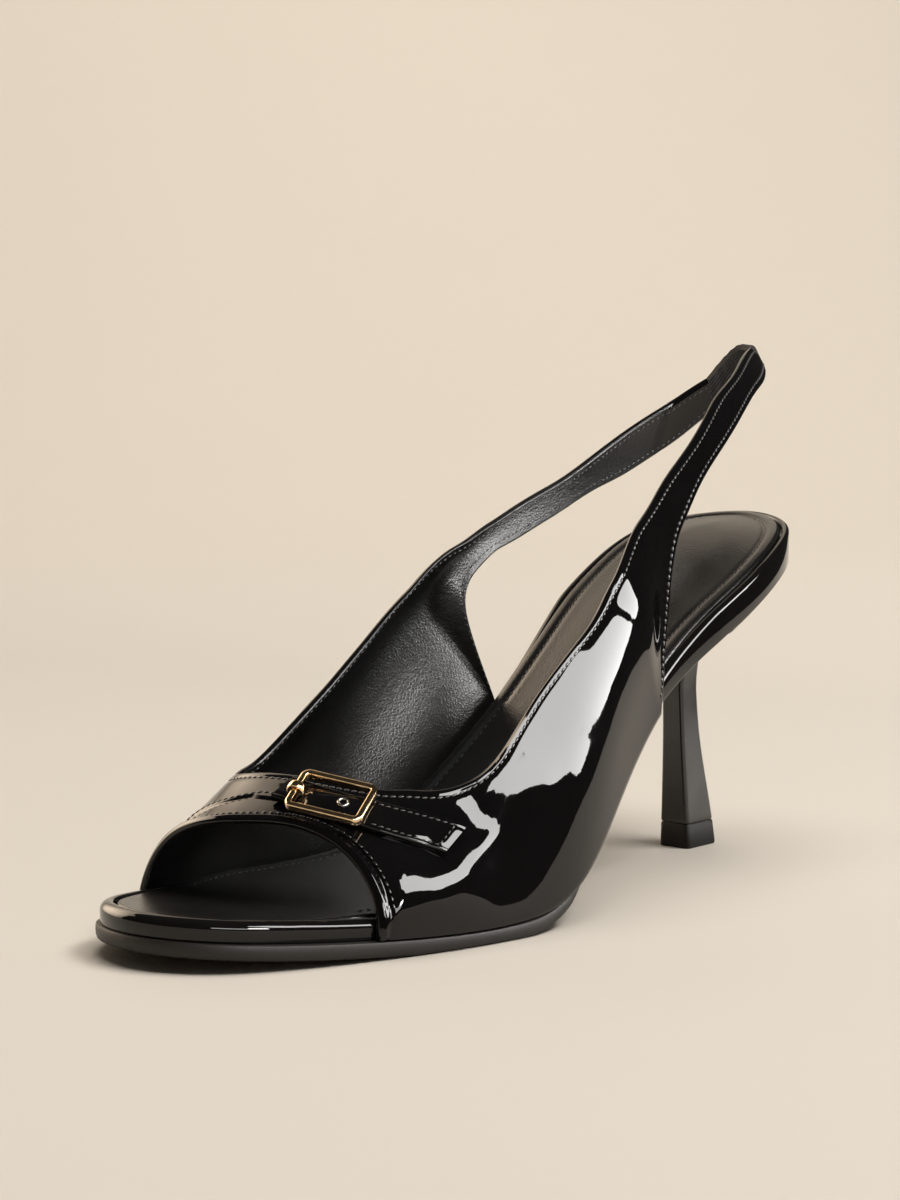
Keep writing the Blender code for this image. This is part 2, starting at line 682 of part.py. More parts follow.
def main():
    for obj in list(bpy.data.objects):
        bpy.data.objects.remove(obj, do_unlink=True)
    patent = make_material("black_patent", (0.006, 0.006, 0.007), 0.08, coat=1.0)
    rubber = make_material("dark_rubber", (0.035, 0.033, 0.031), 0.55)
    lining = make_material("black_lining", (0.012, 0.012, 0.013), 0.42)
    heel_black = make_material("heel_black", (0.016, 0.015, 0.015), 0.3)
    tip_black = make_material("tip_rubber", (0.013, 0.013, 0.013), 0.6)
    elastic = make_material("black_elastic", (0.018, 0.014, 0.012), 0.8)
    gold = make_material("pale_gold", (0.83, 0.62, 0.36), 0.22, metallic=1.0)
    pieces = [
        build_outsole(rubber),
        build_board(patent),
        build_sock(lining),
        build_heel(heel_black),
        build_tip(tip_black),
        build_upper(patent),
        build_gore(elastic),
        build_tab(patent),
        build_buckle(gold),
        build_prong(gold),
    ]
    root = bpy.data.objects.new("shoe_root", None)
    bpy.context.collection.objects.link(root)
    for piece in pieces:
        piece.parent = root


main()
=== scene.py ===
import math

import bmesh
import bpy
import numpy as np
from mathutils import Matrix, Vector


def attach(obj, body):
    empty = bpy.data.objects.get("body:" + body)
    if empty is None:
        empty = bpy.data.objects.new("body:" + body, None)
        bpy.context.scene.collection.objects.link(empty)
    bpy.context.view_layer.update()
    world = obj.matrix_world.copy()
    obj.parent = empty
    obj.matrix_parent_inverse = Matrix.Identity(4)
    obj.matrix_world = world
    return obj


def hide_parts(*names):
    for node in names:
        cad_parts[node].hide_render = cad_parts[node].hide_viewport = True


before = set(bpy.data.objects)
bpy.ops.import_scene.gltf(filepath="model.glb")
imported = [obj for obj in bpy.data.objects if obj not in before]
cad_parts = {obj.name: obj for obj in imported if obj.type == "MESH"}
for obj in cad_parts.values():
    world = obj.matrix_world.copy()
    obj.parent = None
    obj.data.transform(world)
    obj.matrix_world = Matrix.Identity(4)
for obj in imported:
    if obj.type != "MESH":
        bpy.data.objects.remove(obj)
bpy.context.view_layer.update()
print("frame loaded:", ", ".join(sorted(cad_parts)))

mm = 0.001


# curves and distances

def smoothCurve(xs, ys, x, closed=False):
    # cubic spline through a table, natural at its ends or closed on itself
    xs = np.asarray(xs, float)
    ys = np.asarray(ys, float)
    flat = ys.reshape(len(xs), -1)
    x = np.atleast_1d(np.asarray(x, float))
    step = np.diff(xs)
    count = len(xs) - 1 if closed else len(xs)
    matrix = np.eye(count)
    right = np.zeros((count, flat.shape[1]))
    for i in range(0 if closed else 1, count if closed else count - 1):
        prior = flat[i - 1] if i else flat[count - 1]
        matrix[i, i] = 2 * (step[i - 1] + step[i])
        matrix[i, (i - 1) % count] = step[i - 1]
        matrix[i, (i + 1) % count] = step[i]
        right[i] = 6 * ((flat[i + 1] - flat[i]) / step[i] - (flat[i] - prior) / step[i - 1])
    bend = np.linalg.solve(matrix, right)
    if closed:
        bend = np.vstack([bend, bend[:1]])
        x = (x - xs[0]) % (xs[-1] - xs[0]) + xs[0]
    i = np.clip(np.searchsorted(xs, x, side="right") - 1, 0, len(xs) - 2)
    t = (x - xs[i])[:, None]
    g = step[i][:, None]
    slope = (flat[i + 1] - flat[i]) / g - g * (2 * bend[i] + bend[i + 1]) / 6
    out = flat[i] + t * (slope + t * (bend[i] / 2 + t * (bend[i + 1] - bend[i]) / (6 * g)))
    return out.reshape((len(x),) + ys.shape[1:])


def tableCurve(table, at):
    # smooth curves through a table's columns, over its first column
    table = np.array(table, float)
    return smoothCurve(table[:, 0], table[:, 1:], at)


def rowCurve(rows, at):
    # smooth curves through a table's columns, over its row numbers
    return smoothCurve(np.arange(len(rows)), rows, at)


def column(table, index):
    # straight lines through one column of a table
    rows = np.array(table, float)
    return lambda at: np.interp(at, rows[:, 0], rows[:, index])


def interpColumns(at, knots, points):
    return np.column_stack([np.interp(at, knots, values) for values in points.T])


def runAlong(path):
    return np.concatenate([[0], np.cumsum(np.linalg.norm(np.diff(path, axis=0), axis=1))])


def ease(x, low, high):
    t = np.clip((np.asarray(x, float) - low) / (high - low), 0, 1)
    return t * t * (3 - 2 * t)


def hump(x, width):
    return np.exp(-(np.asarray(x, float) / width) ** 2)


def unit(v):
    return v / np.maximum(np.linalg.norm(v, axis=-1, keepdims=True), 1e-12)


def crowded(start, end, count):
    # places that crowd towards both ends
    return start + (end - start) * (1 - np.cos(np.linspace(0, np.pi, count))) / 2


def quarterTurn(count):
    return np.linspace(0, math.pi / 2, count)


def fullTurn(count):
    return np.linspace(0, 2 * math.pi, count, endpoint=False)


def boxy(value, power):
    # sine or cosine made squarer
    return math.copysign(abs(value) ** power, value)


def nearestOn(points, loop, chunk=75):
    # distance to the nearest point of a loop, and which point that is
    flat = points.reshape(-1, loop.shape[1])
    best = np.full(len(flat), 1e9)
    which = np.zeros(len(flat), int)
    for start in range(0, len(loop), chunk):
        gap = np.linalg.norm(flat[:, None] - loop[None, start:start + chunk], axis=-1)
        near = gap.min(1)
        better = near < best
        best[better] = near[better]
        which[better] = start + gap.argmin(1)[better]
    return best.reshape(points.shape[:-1]), which.reshape(points.shape[:-1])


# the last: every piece of the shoe is cut from this one surface

shoeLast = {
    "origin": (118.1, 1.5),  # station and side of the world origin, mm
    "heelBack": (0.0, -3.5),
    "toeTip": (236.0, -7.4),
    "endGap": 0.02,
    "plan": [  # station, lateral side, medial side at the feather line
        (3.5, 8.0, -14.0), (14, 19.0, -23.5), (32, 26.0, -27.5), (56, 28.0, -25.0),
        (84, 29.5, -20.5), (110, 35.5, -21.5), (134, 41.0, -28.8), (155, 40.4, -35.2),
        (176, 36.2, -38.2), (195, 30.0, -37.7), (213, 22.5, -33.8), (227, 13.0, -27.2),
    ],
    "profile": [  # station, height of the feather line
        (0, 79.7), (22, 74.7), (45, 65.5), (68, 55.0), (92, 40.5), (115, 23.0),
        (136, 8.0), (156, 3.8), (178, 3.8), (205, 5.3), (236, 7.8),
    ],
    "sections": [  # station, height, side of the ridge, fullness, medial swell
        (0, 54.0, -2.0, 2.0, 0.0), (14, 57.5, -1.5, 2.0, 0.0), (28, 61.5, -1.0, 2.0, 0.5),
        (42, 67.5, 0.0, 2.0, 1.8), (58, 79.0, 0.0, 2.0, 3.4), (78, 98.0, 0.0, 2.05, 6.3),
        (98, 106.0, 0.0, 2.15, 7.2), (115, 95.0, -2.0, 2.25, 6.0), (135, 75.0, -6.0, 2.25, 3.0),
        (150, 60.0, -10.0, 2.2, 0.8), (165, 47.5, -13.0, 2.2, 0.0), (180, 36.5, -12.5, 2.15, 0.0),
        (195, 27.5, -8.5, 2.1, 0.0), (207, 22.8, -6.5, 2.1, 0.0), (222, 18.0, -6.5, 2.1, 0.0),
        (236.5, 12.0, -7.4, 2.1, 0.0),
    ],
    "normalSteps": (0.15, 0.6),  # station, degrees
}


def planHalves(samples=4000):
    # lateral and medial halves of the plan, heel to toe
    lateral = [(row[0], row[1]) for row in shoeLast["plan"]]
    medial = [(row[0], row[2]) for row in reversed(shoeLast["plan"])]
    back, toe = shoeLast["heelBack"], shoeLast["toeTip"]
    loop = np.array([back] + lateral + [toe] + medial + [back], float)
    along = runAlong(loop)
    ring = smoothCurve(along, loop, np.linspace(0, along[-1], samples, endpoint=False), closed=True)
    ring = np.roll(ring, -int(np.argmin(ring[:, 0])), axis=0)
    tip = int(np.argmax(ring[:, 0]))
    return ring[:tip + 1], np.vstack([ring[tip:], ring[:1]])[::-1]


lateralHalf, medialHalf = planHalves()


def featherHeight(station):
    station = np.asarray(station, float)
    return tableCurve(shoeLast["profile"], station.ravel()).reshape(station.shape)


def lastPoint(cut):
    # a cut is a station and a turn: 0 at the lateral feather line, 90 at the ridge, 180 at the medial one
    cut = np.asarray(cut, float)
    station = cut[..., 0]
    angle = np.radians(np.clip(cut[..., 1], 0, 180))
    columns = tableCurve(shoeLast["sections"], station.ravel())
    height, ridge, full, swell = (c.reshape(station.shape) for c in columns.T)
    cosine = np.cos(angle)
    lateral, medial = (np.interp(station, *half.T) for half in (lateralHalf, medialHalf))
    edge = np.where(cosine >= 0, lateral, medial)
    side = ridge + (edge - ridge) * np.abs(cosine) ** (2 / full)
    side = side - np.where(cosine < 0, swell * np.abs(np.sin(2 * angle)), 0)
    rise = height * np.clip(np.sin(angle), 0, 1) ** (2 / full)
    return np.stack([station, side, featherHeight(station) + rise], -1)


def lastNormal(cut):
    # outward normal by small steps along and round the last
    step, twist = np.diag(shoeLast["normalSteps"])
    ahead = lastPoint(cut + step) - lastPoint(cut - step)
    return unit(np.cross(lastPoint(cut + twist) - lastPoint(cut - twist), ahead))


def wholeLength(count, start=shoeLast["endGap"]):
    return crowded(start, shoeLast["toeTip"][0] - shoeLast["endGap"], count)


def offsetPlan(stations, margin):
    halves = []
    for half, sign in ((lateralHalf, 1), (medialHalf, -1)):
        side = np.interp(stations, half[:, 0], half[:, 1])
        way = sign * unit(interpColumns(stations, half[:, 0], np.gradient(half, axis=0)))
        halves.append(np.column_stack([stations - way[:, 1] * margin, side + way[:, 0] * margin]))
    return halves


def toWorldWay(ways):
    # toe to -Y, lateral to +X
    return np.stack([ways[..., 1], -ways[..., 0], ways[..., 2]], -1)


def toWorld(points):
    # shoe millimetres to world metres
    return toWorldWay(np.asarray(points, float) - (*shoeLast["origin"], 0)) * mm


# finishes

def fill(node, **sockets):
    # sets a node's sockets, or links them where the value is another node's output
    for key, value in sockets.items():
        socket = node.inputs[key.replace("_", " ")]
        if isinstance(value, bpy.types.NodeSocket):
            node.id_data.links.new(value, socket)
        else:
            socket.default_value = value
    return node


def place(tree, kind, **sockets):
    return fill(tree.nodes.new(kind), **sockets)


def newFinish(name, colour, roughness, **sockets):
    finish = bpy.data.materials.new(name)
    finish.use_nodes = True
    tree = finish.node_tree
    shader = tree.nodes["Principled BSDF"]
    fill(shader, Base_Color=(*colour, 1), Roughness=roughness, **sockets)
    return finish, tree, shader


def objectCoords(tree, stretch=(1, 1, 1), turn=(0, 0, 0)):
    coords = tree.nodes.new("ShaderNodeTexCoord").outputs["Object"]
    return place(tree, "ShaderNodeMapping", Vector=coords, Scale=stretch, Rotation=turn).outputs["Vector"]


def noiseField(tree, coords, scale, detail=2.0, rough=0.5, distort=0.0):
    noise = place(tree, "ShaderNodeTexNoise", Vector=coords, Scale=scale, Detail=detail,
                  Roughness=rough, Distortion=distort)
    return noise.outputs["Fac"]


def rangeOf(tree, field, low, high, toLow, toHigh):
    node = place(tree, "ShaderNodeMapRange", Value=field, From_Min=low, From_Max=high,
                 To_Min=toLow, To_Max=toHigh)
    return node.outputs["Result"]


def reliefOf(tree, shader, *layers):
    # stacks bump layers: field, strength, depth in metres
    normal = None
    for field, strength, depth in layers:
        bump = place(tree, "ShaderNodeBump", Height=field, Strength=strength, Distance=depth)
        if normal is not None:
            fill(bump, Normal=normal)
        normal = bump.outputs["Normal"]
    fill(shader, Normal=normal)


def blendColour(tree, shader, field, colour, first, second):
    # runs from one multiple of the colour to another
    ramp = place(tree, "ShaderNodeValToRGB", Fac=field)
    for stop, share in zip(ramp.color_ramp.elements, (first, second)):
        stop.color = (*(c * share for c in colour), 1)
    fill(shader, Base_Color=ramp.outputs["Color"])


def patentFinish(name, colour, wave):
    # mirror-gloss coating over black leather: slow ripples, a faint orange peel, dust-fine variation
    finish, tree, shader = newFinish(name, colour, 0.03, Specular_IOR_Level=0.38)
    coords = objectCoords(tree)
    ripple = noiseField(tree, coords, 95, 1.5, 0.45)
    peel = noiseField(tree, coords, 850, 1.0)
    blotch = noiseField(tree, coords, 60, 3.0)
    blendColour(tree, shader, blotch, colour, 1.0, 1.7)
    fill(shader, Roughness=rangeOf(tree, blotch, 0.3, 0.75, 0.02, 0.05))
    reliefOf(tree, shader, (ripple, wave, 0.0006), (peel, 0.045, 0.00005))
    return finish


def liningFinish(name, colour, roughness, grain, crease, gloss):
    # smooth lining with a fine leather grain and soft creases that run across it
    finish, tree, shader = newFinish(name, colour, roughness, Specular_IOR_Level=gloss)
    coords = objectCoords(tree)
    cells = place(tree, "ShaderNodeTexVoronoi", Vector=coords, Scale=1150)
    cells.feature = "DISTANCE_TO_EDGE"
    pores = rangeOf(tree, cells.outputs["Distance"], 0.0, 0.25, 0.0, 1.0)
    fine = noiseField(tree, coords, 2100, 3.0, 0.6)
    slanted = objectCoords(tree, (0.35, 1.0, 1.4), (0.5, 0.2, 0.4))
    folds = noiseField(tree, slanted, 420, 2.5, 0.55, 0.6)
    patches = noiseField(tree, coords, 55, 4.0)
    blendColour(tree, shader, patches, colour, 0.75, 1.35)
    fill(shader, Roughness=rangeOf(tree, patches, 0.25, 0.75, roughness * 0.85, roughness * 1.2))
    reliefOf(tree, shader, (folds, crease, 0.0004), (pores, grain, 0.00012), (fine, grain * 0.5, 0.00006))
    return finish


def rubberFinish(name, colour, roughness, gloss=0.4):
    finish, tree, shader = newFinish(name, colour, roughness, Specular_IOR_Level=gloss)
    speck = noiseField(tree, objectCoords(tree), 1400, 3.0, 0.6)
    scuff = noiseField(tree, objectCoords(tree, (1, 0.25, 2.0)), 130, 4.0)
    blendColour(tree, shader, scuff, colour, 0.8, 1.3)
    fill(shader, Roughness=rangeOf(tree, speck, 0.3, 0.7, roughness * 0.85, roughness * 1.15))
    reliefOf(tree, shader, (speck, 0.22, 0.00008))
    return finish


def lacquerFinish(name, colour):
    # sprayed heel cover: satin black with a light pull along the stem
    finish, tree, shader = newFinish(
        name, colour, 0.24, Specular_IOR_Level=0.5, Coat_Weight=0.35, Coat_Roughness=0.12)
    along = noiseField(tree, objectCoords(tree, (1, 1, 0.12)), 700, 2.0)
    mottle = noiseField(tree, objectCoords(tree), 90, 3.0)
    blendColour(tree, shader, mottle, colour, 0.8, 1.35)
    fill(shader, Roughness=rangeOf(tree, mottle, 0.3, 0.7, 0.2, 0.3))
    reliefOf(tree, shader, (along, 0.05, 0.00008))
    return finish


def elasticFinish(name, colour):
    # ribbed elastic: ribs and picks follow the strip's own UV map
    finish, tree, shader = newFinish(name, colour, 0.82, Sheen_Weight=0.25, Sheen_Roughness=0.5)
    uv = tree.nodes.new("ShaderNodeUVMap")
    uv.uv_map = "UVMap"
    waves = []
    for way, scale, distort in (("Y", 4.2, 0.4), ("X", 13.0, 0.8)):
        wave = place(tree, "ShaderNodeTexWave", Vector=uv.outputs["UV"], Scale=scale,
                     Distortion=distort, Detail=1.0)
        wave.bands_direction = way
        waves.append(wave.outputs["Fac"])
    ribs, picks = waves
    blendColour(tree, shader, ribs, colour, 0.6, 1.5)
    reliefOf(tree, shader, (ribs, 0.6, 0.00025), (picks, 0.35, 0.00012))
    return finish


def metalFinish(name, colour, roughness):
    finish, tree, shader = newFinish(name, colour, roughness, Metallic=1.0)
    haze = noiseField(tree, objectCoords(tree), 420, 3.0)
    scratch = noiseField(tree, objectCoords(tree, (0.15, 1.0, 1.0), (0, 0, 0.9)), 2400, 2.0)
    blendColour(tree, shader, haze, colour, 0.9, 1.0)
    fill(shader, Roughness=rangeOf(tree, haze, 0.3, 0.7, roughness * 0.7, roughness * 1.4))
    reliefOf(tree, shader, (scratch, 0.06, 0.00004))
    return finish


def threadFinish(name, colour):
    # waxed thread with a twist
    finish, tree, shader = newFinish(name, colour, 0.3, Coat_Weight=0.4, Coat_Roughness=0.2)
    twist = noiseField(tree, objectCoords(tree, turn=(0.4, 0.6, 0.3)), 3800, 1.0)
    blendColour(tree, shader, twist, colour, 0.7, 1.5)
    reliefOf(tree, shader, (twist, 0.3, 0.00008))
    return finish


finishes = {
    "patent": patentFinish("blackPatent", (0.0045, 0.0042, 0.0045), 0.02),
    "seatPatent": patentFinish("seatPatent", (0.006, 0.0055, 0.0055), 0.01),
    "lining": liningFinish("upperLining", (0.009, 0.0086, 0.0083), 0.31, 0.24, 0.2, 0.55),
    "sock": liningFinish("sockLining", (0.011, 0.0105, 0.0105), 0.23, 0.16, 0.05, 0.5),
    "rubber": rubberFinish("outsoleRubber", (0.022, 0.0195, 0.017), 0.5, 0.3),
    "tip": rubberFinish("tipRubber", (0.014, 0.0125, 0.011), 0.5, 0.12),
    "lacquer": lacquerFinish("heelLacquer", (0.006, 0.0058, 0.0058)),
    "elastic": elasticFinish("gusset", (0.016, 0.011, 0.009)),
    "gold": metalFinish("paleGold", (0.95, 0.70, 0.42), 0.15),
    "eyelet": metalFinish("eyeletRim", (0.72, 0.70, 0.67), 0.22),
    "rawEdge": rubberFinish("rawEdge", (0.075, 0.068, 0.06), 0.6),
    # the thread is black; its lighter grey here is a painted glint, standing in for the highlights along
    # the stitch rows
    "thread": threadFinish("blackThreadPaintedGlint", (0.075, 0.074, 0.075)),
    "darkThread": threadFinish("darkThread", (0.018, 0.018, 0.018)),
}
print("finishes made:", len(finishes))


# mesh helpers

def addObject(name, data):
    thing = bpy.data.objects.new(name, data)
    bpy.context.collection.objects.link(thing)
    return thing


def makePiece(name, points, faces, materials, faceSlot=None, sharp=50, uvs=None):
    mesh = bpy.data.meshes.new(name)
    mesh.from_pydata([tuple(p) for p in toWorld(points)], [], [tuple(int(i) for i in f) for f in faces])
    for finish in materials:
        mesh.materials.append(finish)
    if faceSlot is not None:
        mesh.polygons.foreach_set("material_index", np.asarray(faceSlot, np.int32))
    if uvs is not None:
        layer = mesh.uv_layers.new(name="UVMap")
        for loop in mesh.loops:
            layer.data[loop.index].uv = uvs[loop.vertex_index]
    work = bmesh.new()
    work.from_mesh(mesh)
    bmesh.ops.remove_doubles(work, verts=work.verts, dist=2e-6)
    bmesh.ops.recalc_face_normals(work, faces=work.faces)
    work.to_mesh(mesh)
    work.free()
    mesh.shade_smooth()
    mesh.set_sharp_from_angle(angle=math.radians(sharp))
    return addObject(name, mesh)


def gridFaces(rows, columns, closedColumns=False, start=0):
    faces = []
    for i in range(rows - 1):
        for j in range(columns if closedColumns else columns - 1):
            k = (j + 1) % columns
            a = start + i * columns
            faces.append((a + j, a + columns + j, a + columns + k, a + k))
    return faces


def makeSlab(name, top, bottom, materials, endSlot=0, **more):
    # two grids, one under the other, closed along their sides and then across their ends
    rows, columns = top.shape[:2]
    under = rows * columns
    faces = gridFaces(rows, columns)
    faces += [f[::-1] for f in gridFaces(rows, columns, start=under)]
    sides = [(i * columns + j, (i + 1) * columns + j) for i in range(rows - 1) for j in (0, columns - 1)]
    ends = [(i * columns + j, i * columns + j + 1) for i in (0, rows - 1) for j in range(columns - 1)]
    slots = [0] * (len(faces) + len(sides)) + [endSlot] * len(ends)
    faces += [(a, b, b + under, a + under) for a, b in sides + ends]
    points = np.concatenate([top.reshape(-1, 3), bottom.reshape(-1, 3)])
    return makePiece(name, points, faces, materials, slots, **more)


def makeTube(name, rings, finish, sharp, closed=False):
    # rings joined in order, and closed on themselves or capped at both ends
    rings = np.array(rings)
    levels, count = rings.shape[:2]
    final = (levels - 1) * count
    faces = gridFaces(levels, count, closedColumns=True)
    if closed:
        faces += [(final + j, j, (j + 1) % count, final + (j + 1) % count) for j in range(count)]
    else:
        faces += [range(count), range(final, final + count)]
    return makePiece(name, rings.reshape(-1, 3), faces, [finish], sharp=sharp)


def levelSlab(name, stations, margin, levels, finish):
    # slab that is level across the shoe; each level is an inset and a height over its stations
    count = len(stations)
    rows = []
    for inset, height in levels:
        for half in offsetPlan(stations, margin - inset):
            rows.append(np.column_stack([half, height(half[:, 0])]))
    index = np.arange(len(rows) * count).reshape(len(rows), count)
    lateral, medial = list(index[0::2]), list(index[1::2])
    rim = lateral + medial[::-1]
    faces = []
    for one, two in zip(rim, rim[1:] + rim[:1]):
        faces += [(one[i], one[i + 1], two[i + 1], two[i]) for i in range(count - 1)]
    for end in (0, count - 1):
        for k in range(len(levels) - 1):
            faces.append((lateral[k][end], lateral[k + 1][end], medial[k + 1][end], medial[k][end]))
    return makePiece(name, np.concatenate(rows), faces, [finish], sharp=42)


def settle(piece, slot, *nodes):
    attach(piece, "root")
    if nodes:
        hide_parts(*nodes)
    print("made", piece.name, len(piece.data.polygons), "faces")


# outsole

outsole = {
    "rows": [(52, 1.8, -4.0), (95, 1.8, -4.4), (118, 2.2, -3.8), (136, 3.4, -0.6), (150, 4.0, 0.5),
             (200, 3.8, 0.5), (236, 3.7, 0.2)],  # station, thickness, side margin
    "levels": [(0, 1.3), (0.04, 0.75), (0.14, 0.28), (0.3, 0.06), (0.6, 0), (0.86, 0.02), (0.96, 0.16),
               (1, 0.45)],  # share of the way up, inset
    "stations": 150,
    "start": 52,
    "gap": 0.08,
    "bed": 0.15,
}


def makeOutsole():
    thick = column(outsole["rows"], 1)
    stations = wholeLength(outsole["stations"], outsole["start"])
    top = lambda s: featherHeight(s) - outsole["gap"]
    bottom = lambda s: np.maximum(featherHeight(s) - outsole["bed"] - thick(s), 0)
    levels = []
    for share, inset in outsole["levels"]:
        levels.append((inset, lambda s, k=share: bottom(s) + k * (top(s) - bottom(s))))
    margin = column(outsole["rows"], 2)(stations)
    piece = levelSlab("outsoleRubber", stations, margin, levels, finishes["rubber"])
    settle(piece, "outsole_rubber", "outsole")


makeOutsole()


# covered board: wall of the heel seat and lip of the toe

board = {
    "rows": [(0, 6.4, 0.0), (58, 6.8, 0.0), (84, 5.9, -1.55), (130, 4.6, -1.55), (180, 4.6, -1.55),
             (212, 5.0, -1.6), (236, 5.2, -0.4)],  # station, thickness, side margin
    "round": [(0, 1.0), (60, 1.2), (95, 2.0), (200, 2.2), (236, 2.4)],  # radius of the upper edge
    "crest": [(0, 2.2), (60, 2.0), (95, 0.0), (236, 0.0)],  # rim that closes round the sock at the seat
    "recess": [(0, 0.0), (178, 0.0), (205, 1.5), (236, 1.5)],  # bed of the sock behind the toe lip
    "foot": [(0.4, 0.0), (0.12, 0.15), (0.0, 0.45)],  # inset, rise
    "bedWall": [(0.4, 0.99), (0.7, 0.9), (0.9, 0.6), (1.0, 0.0)],  # inset past the round, share of its rise
    "roundSteps": 10,
    "stations": 190,
    "under": 0.04,
    "gap": 0.15,
}


def boardTop(station):
    return featherHeight(station) + board["gap"] + column(board["rows"], 1)(station)


def bedTop(station):
    return boardTop(station) - column(board["recess"], 1)(station)


def rimTop(station):
    return boardTop(station) + column(board["crest"], 1)(station)


def makeBoard():
    stations = wholeLength(board["stations"])
    radiusAt = column(board["round"], 1)
    radius = radiusAt(stations)
    levels = []
    for inset, rise in board["foot"]:
        levels.append((inset, lambda s, up=rise: featherHeight(s) + board["under"] + up))
    for angle in quarterTurn(board["roundSteps"]):
        inset, fall = radius * (1 - math.cos(angle)), 1 - math.sin(angle)
        levels.append((inset, lambda s, d=fall: rimTop(s) - radiusAt(s) * d))
    for out, share in board["bedWall"]:
        levels.append((radius + out, lambda s, k=share: bedTop(s) + k * (rimTop(s) - bedTop(s))))
    margin = column(board["rows"], 2)(stations)
    piece = levelSlab("seatAndToeLip", stations, margin, levels, finishes["seatPatent"])
    settle(piece, "seat_patent", "insole_board")


makeBoard()


# padded sock

sock = {
    "rows": [(0, 2.6, -2.4), (60, 2.4, -2.6), (95, 1.6, -3.6), (178, 1.5, -3.8), (196, 1.3, -5.0),
             (214, 1.1, -4.9), (236, 1.0, -4.5)],  # station, thickness, side margin
    "round": 0.9,
    "stitchInset": 4.0,
    "groove": [(0, 0.34), (170, 0.3), (192, 0.0), (236, 0.0)],  # station, depth of the stitched line
    "grooveWidth": 0.75,
    "lip": (2.1, 1.1, 0.5),  # inset, width, share of the groove's depth
    "crown": [(0, 1.0), (60, 0.9), (110, 0.5), (180, 0.3), (205, 0.0), (236, 0.0)],  # rise of the padding
    "crownReach": 13,
    "rim": 0.05,
    "crowding": 0.65,
    "rimPoints": 900,
    "stations": 200,
    "columns": 64,
    "gap": 0.1,
}


def sockPlan(stations, inset=0):
    return offsetPlan(stations, column(sock["rows"], 2)(stations) - inset)


sockLateral, sockMedial = sockPlan(wholeLength(sock["rimPoints"]))
sockLoop = np.vstack([sockLateral, sockMedial[::-1]])


def sockBase(station):
    return bedTop(station) + sock["gap"]


def sockTop(points):
    # height of the sock's face over its plan
    away = nearestOn(points, sockLoop)[0]
    station = points[..., 0]
    inset = sock["stitchInset"]
    lipInset, lipWidth, lipShare = sock["lip"]
    edge = 1 - np.clip(away / sock["round"], 0, 1)
    rounded = column(sock["rows"], 1)(station) * np.sqrt(np.clip(1 - edge ** 2, 0, 1))
    depth = column(sock["groove"], 1)(station)
    groove = depth * hump(away - inset, sock["grooveWidth"])
    crown = column(sock["crown"], 1)(station) * ease(away, inset, inset + sock["crownReach"])
    lip = lipShare * depth * hump(away - lipInset, lipWidth)
    return sockBase(station) + rounded - groove + crown + lip


def makeSock():
    lateral, medial = sockPlan(wholeLength(sock["stations"]))
    across = (1 - sock["crowding"]) * np.linspace(0, 1, sock["columns"])
    across = (across + sock["crowding"] * crowded(0, 1, sock["columns"]))[None, :, None]
    flat = lateral[:, None] * (1 - across) + medial[:, None] * across
    top = np.dstack([flat, sockTop(flat)])
    base = sockBase(flat[..., 0])
    bottom = np.dstack([flat, np.minimum(top[..., 2], base)])
    top[:, 0, 2] = top[:, -1, 2] = np.maximum(top[:, 0, 2], base[:, 0] + sock["rim"])
    piece = makeSlab("sockPad", top, bottom, [finishes["sock"]], sharp=60)
    settle(piece, "sock_lining", "insole")


makeSock()


# heel and its top piece

heel = {
    "stem": [(0.0, 40.0, 26.6, 4.9, 5.0), (7.0, 40.1, 27.7, 4.6, 4.6), (19.0, 40.6, 30.2, 4.0, 3.9),
             (31.0, 41.1, 32.6, 3.5, 3.4),
             (43.0, 41.6, 34.0, 3.3, 3.3)],  # height, front, back, half widths
    "side": 0.4,
    "corner": (0.9, 6),  # radius of the breast's corners, points
    "bevel": (0.34, 1.2, 9),  # share of the back's half width, how much deeper it cuts, points
    "knots": ((0, 0.045), (0.3, 0.4)),  # shares of the ring that the corner and the bevel take up
    "foot": [(0.0, 0.965), (0.18, 0.99), (0.5, 1.0)],  # rise, draw towards the middle
    "stemRun": (2, 43, 20),  # rise of its first plain level, height of its last, how many
    "tip": [(0, 0.94), (0.12, 0.975), (0.45, 1.0), (3.3, 1.0), (6.3, 1.0), (6.6, 0.97)],  # height, draw
    "tipPoints": (61, 12),
    "cup": [(0.0, 0.0), (0.005, 0.1), (0.02, 0.20), (0.07, 0.36), (0.18, 0.50), (0.38, 0.63), (0.64, 0.77),
            (0.86, 0.89), (0.97, 0.965), (1.0, 1.0)],  # share out in plan, share of the way up
    "cupLevels": 40,
    "seatRun": (0.05, 51.0, 200),  # first and last station, how many
    "seatMargin": -0.2,
    "seatGap": 0.06,
    "gap": 0.2,
    "points": (121, 20),  # round the back, across the breast
}


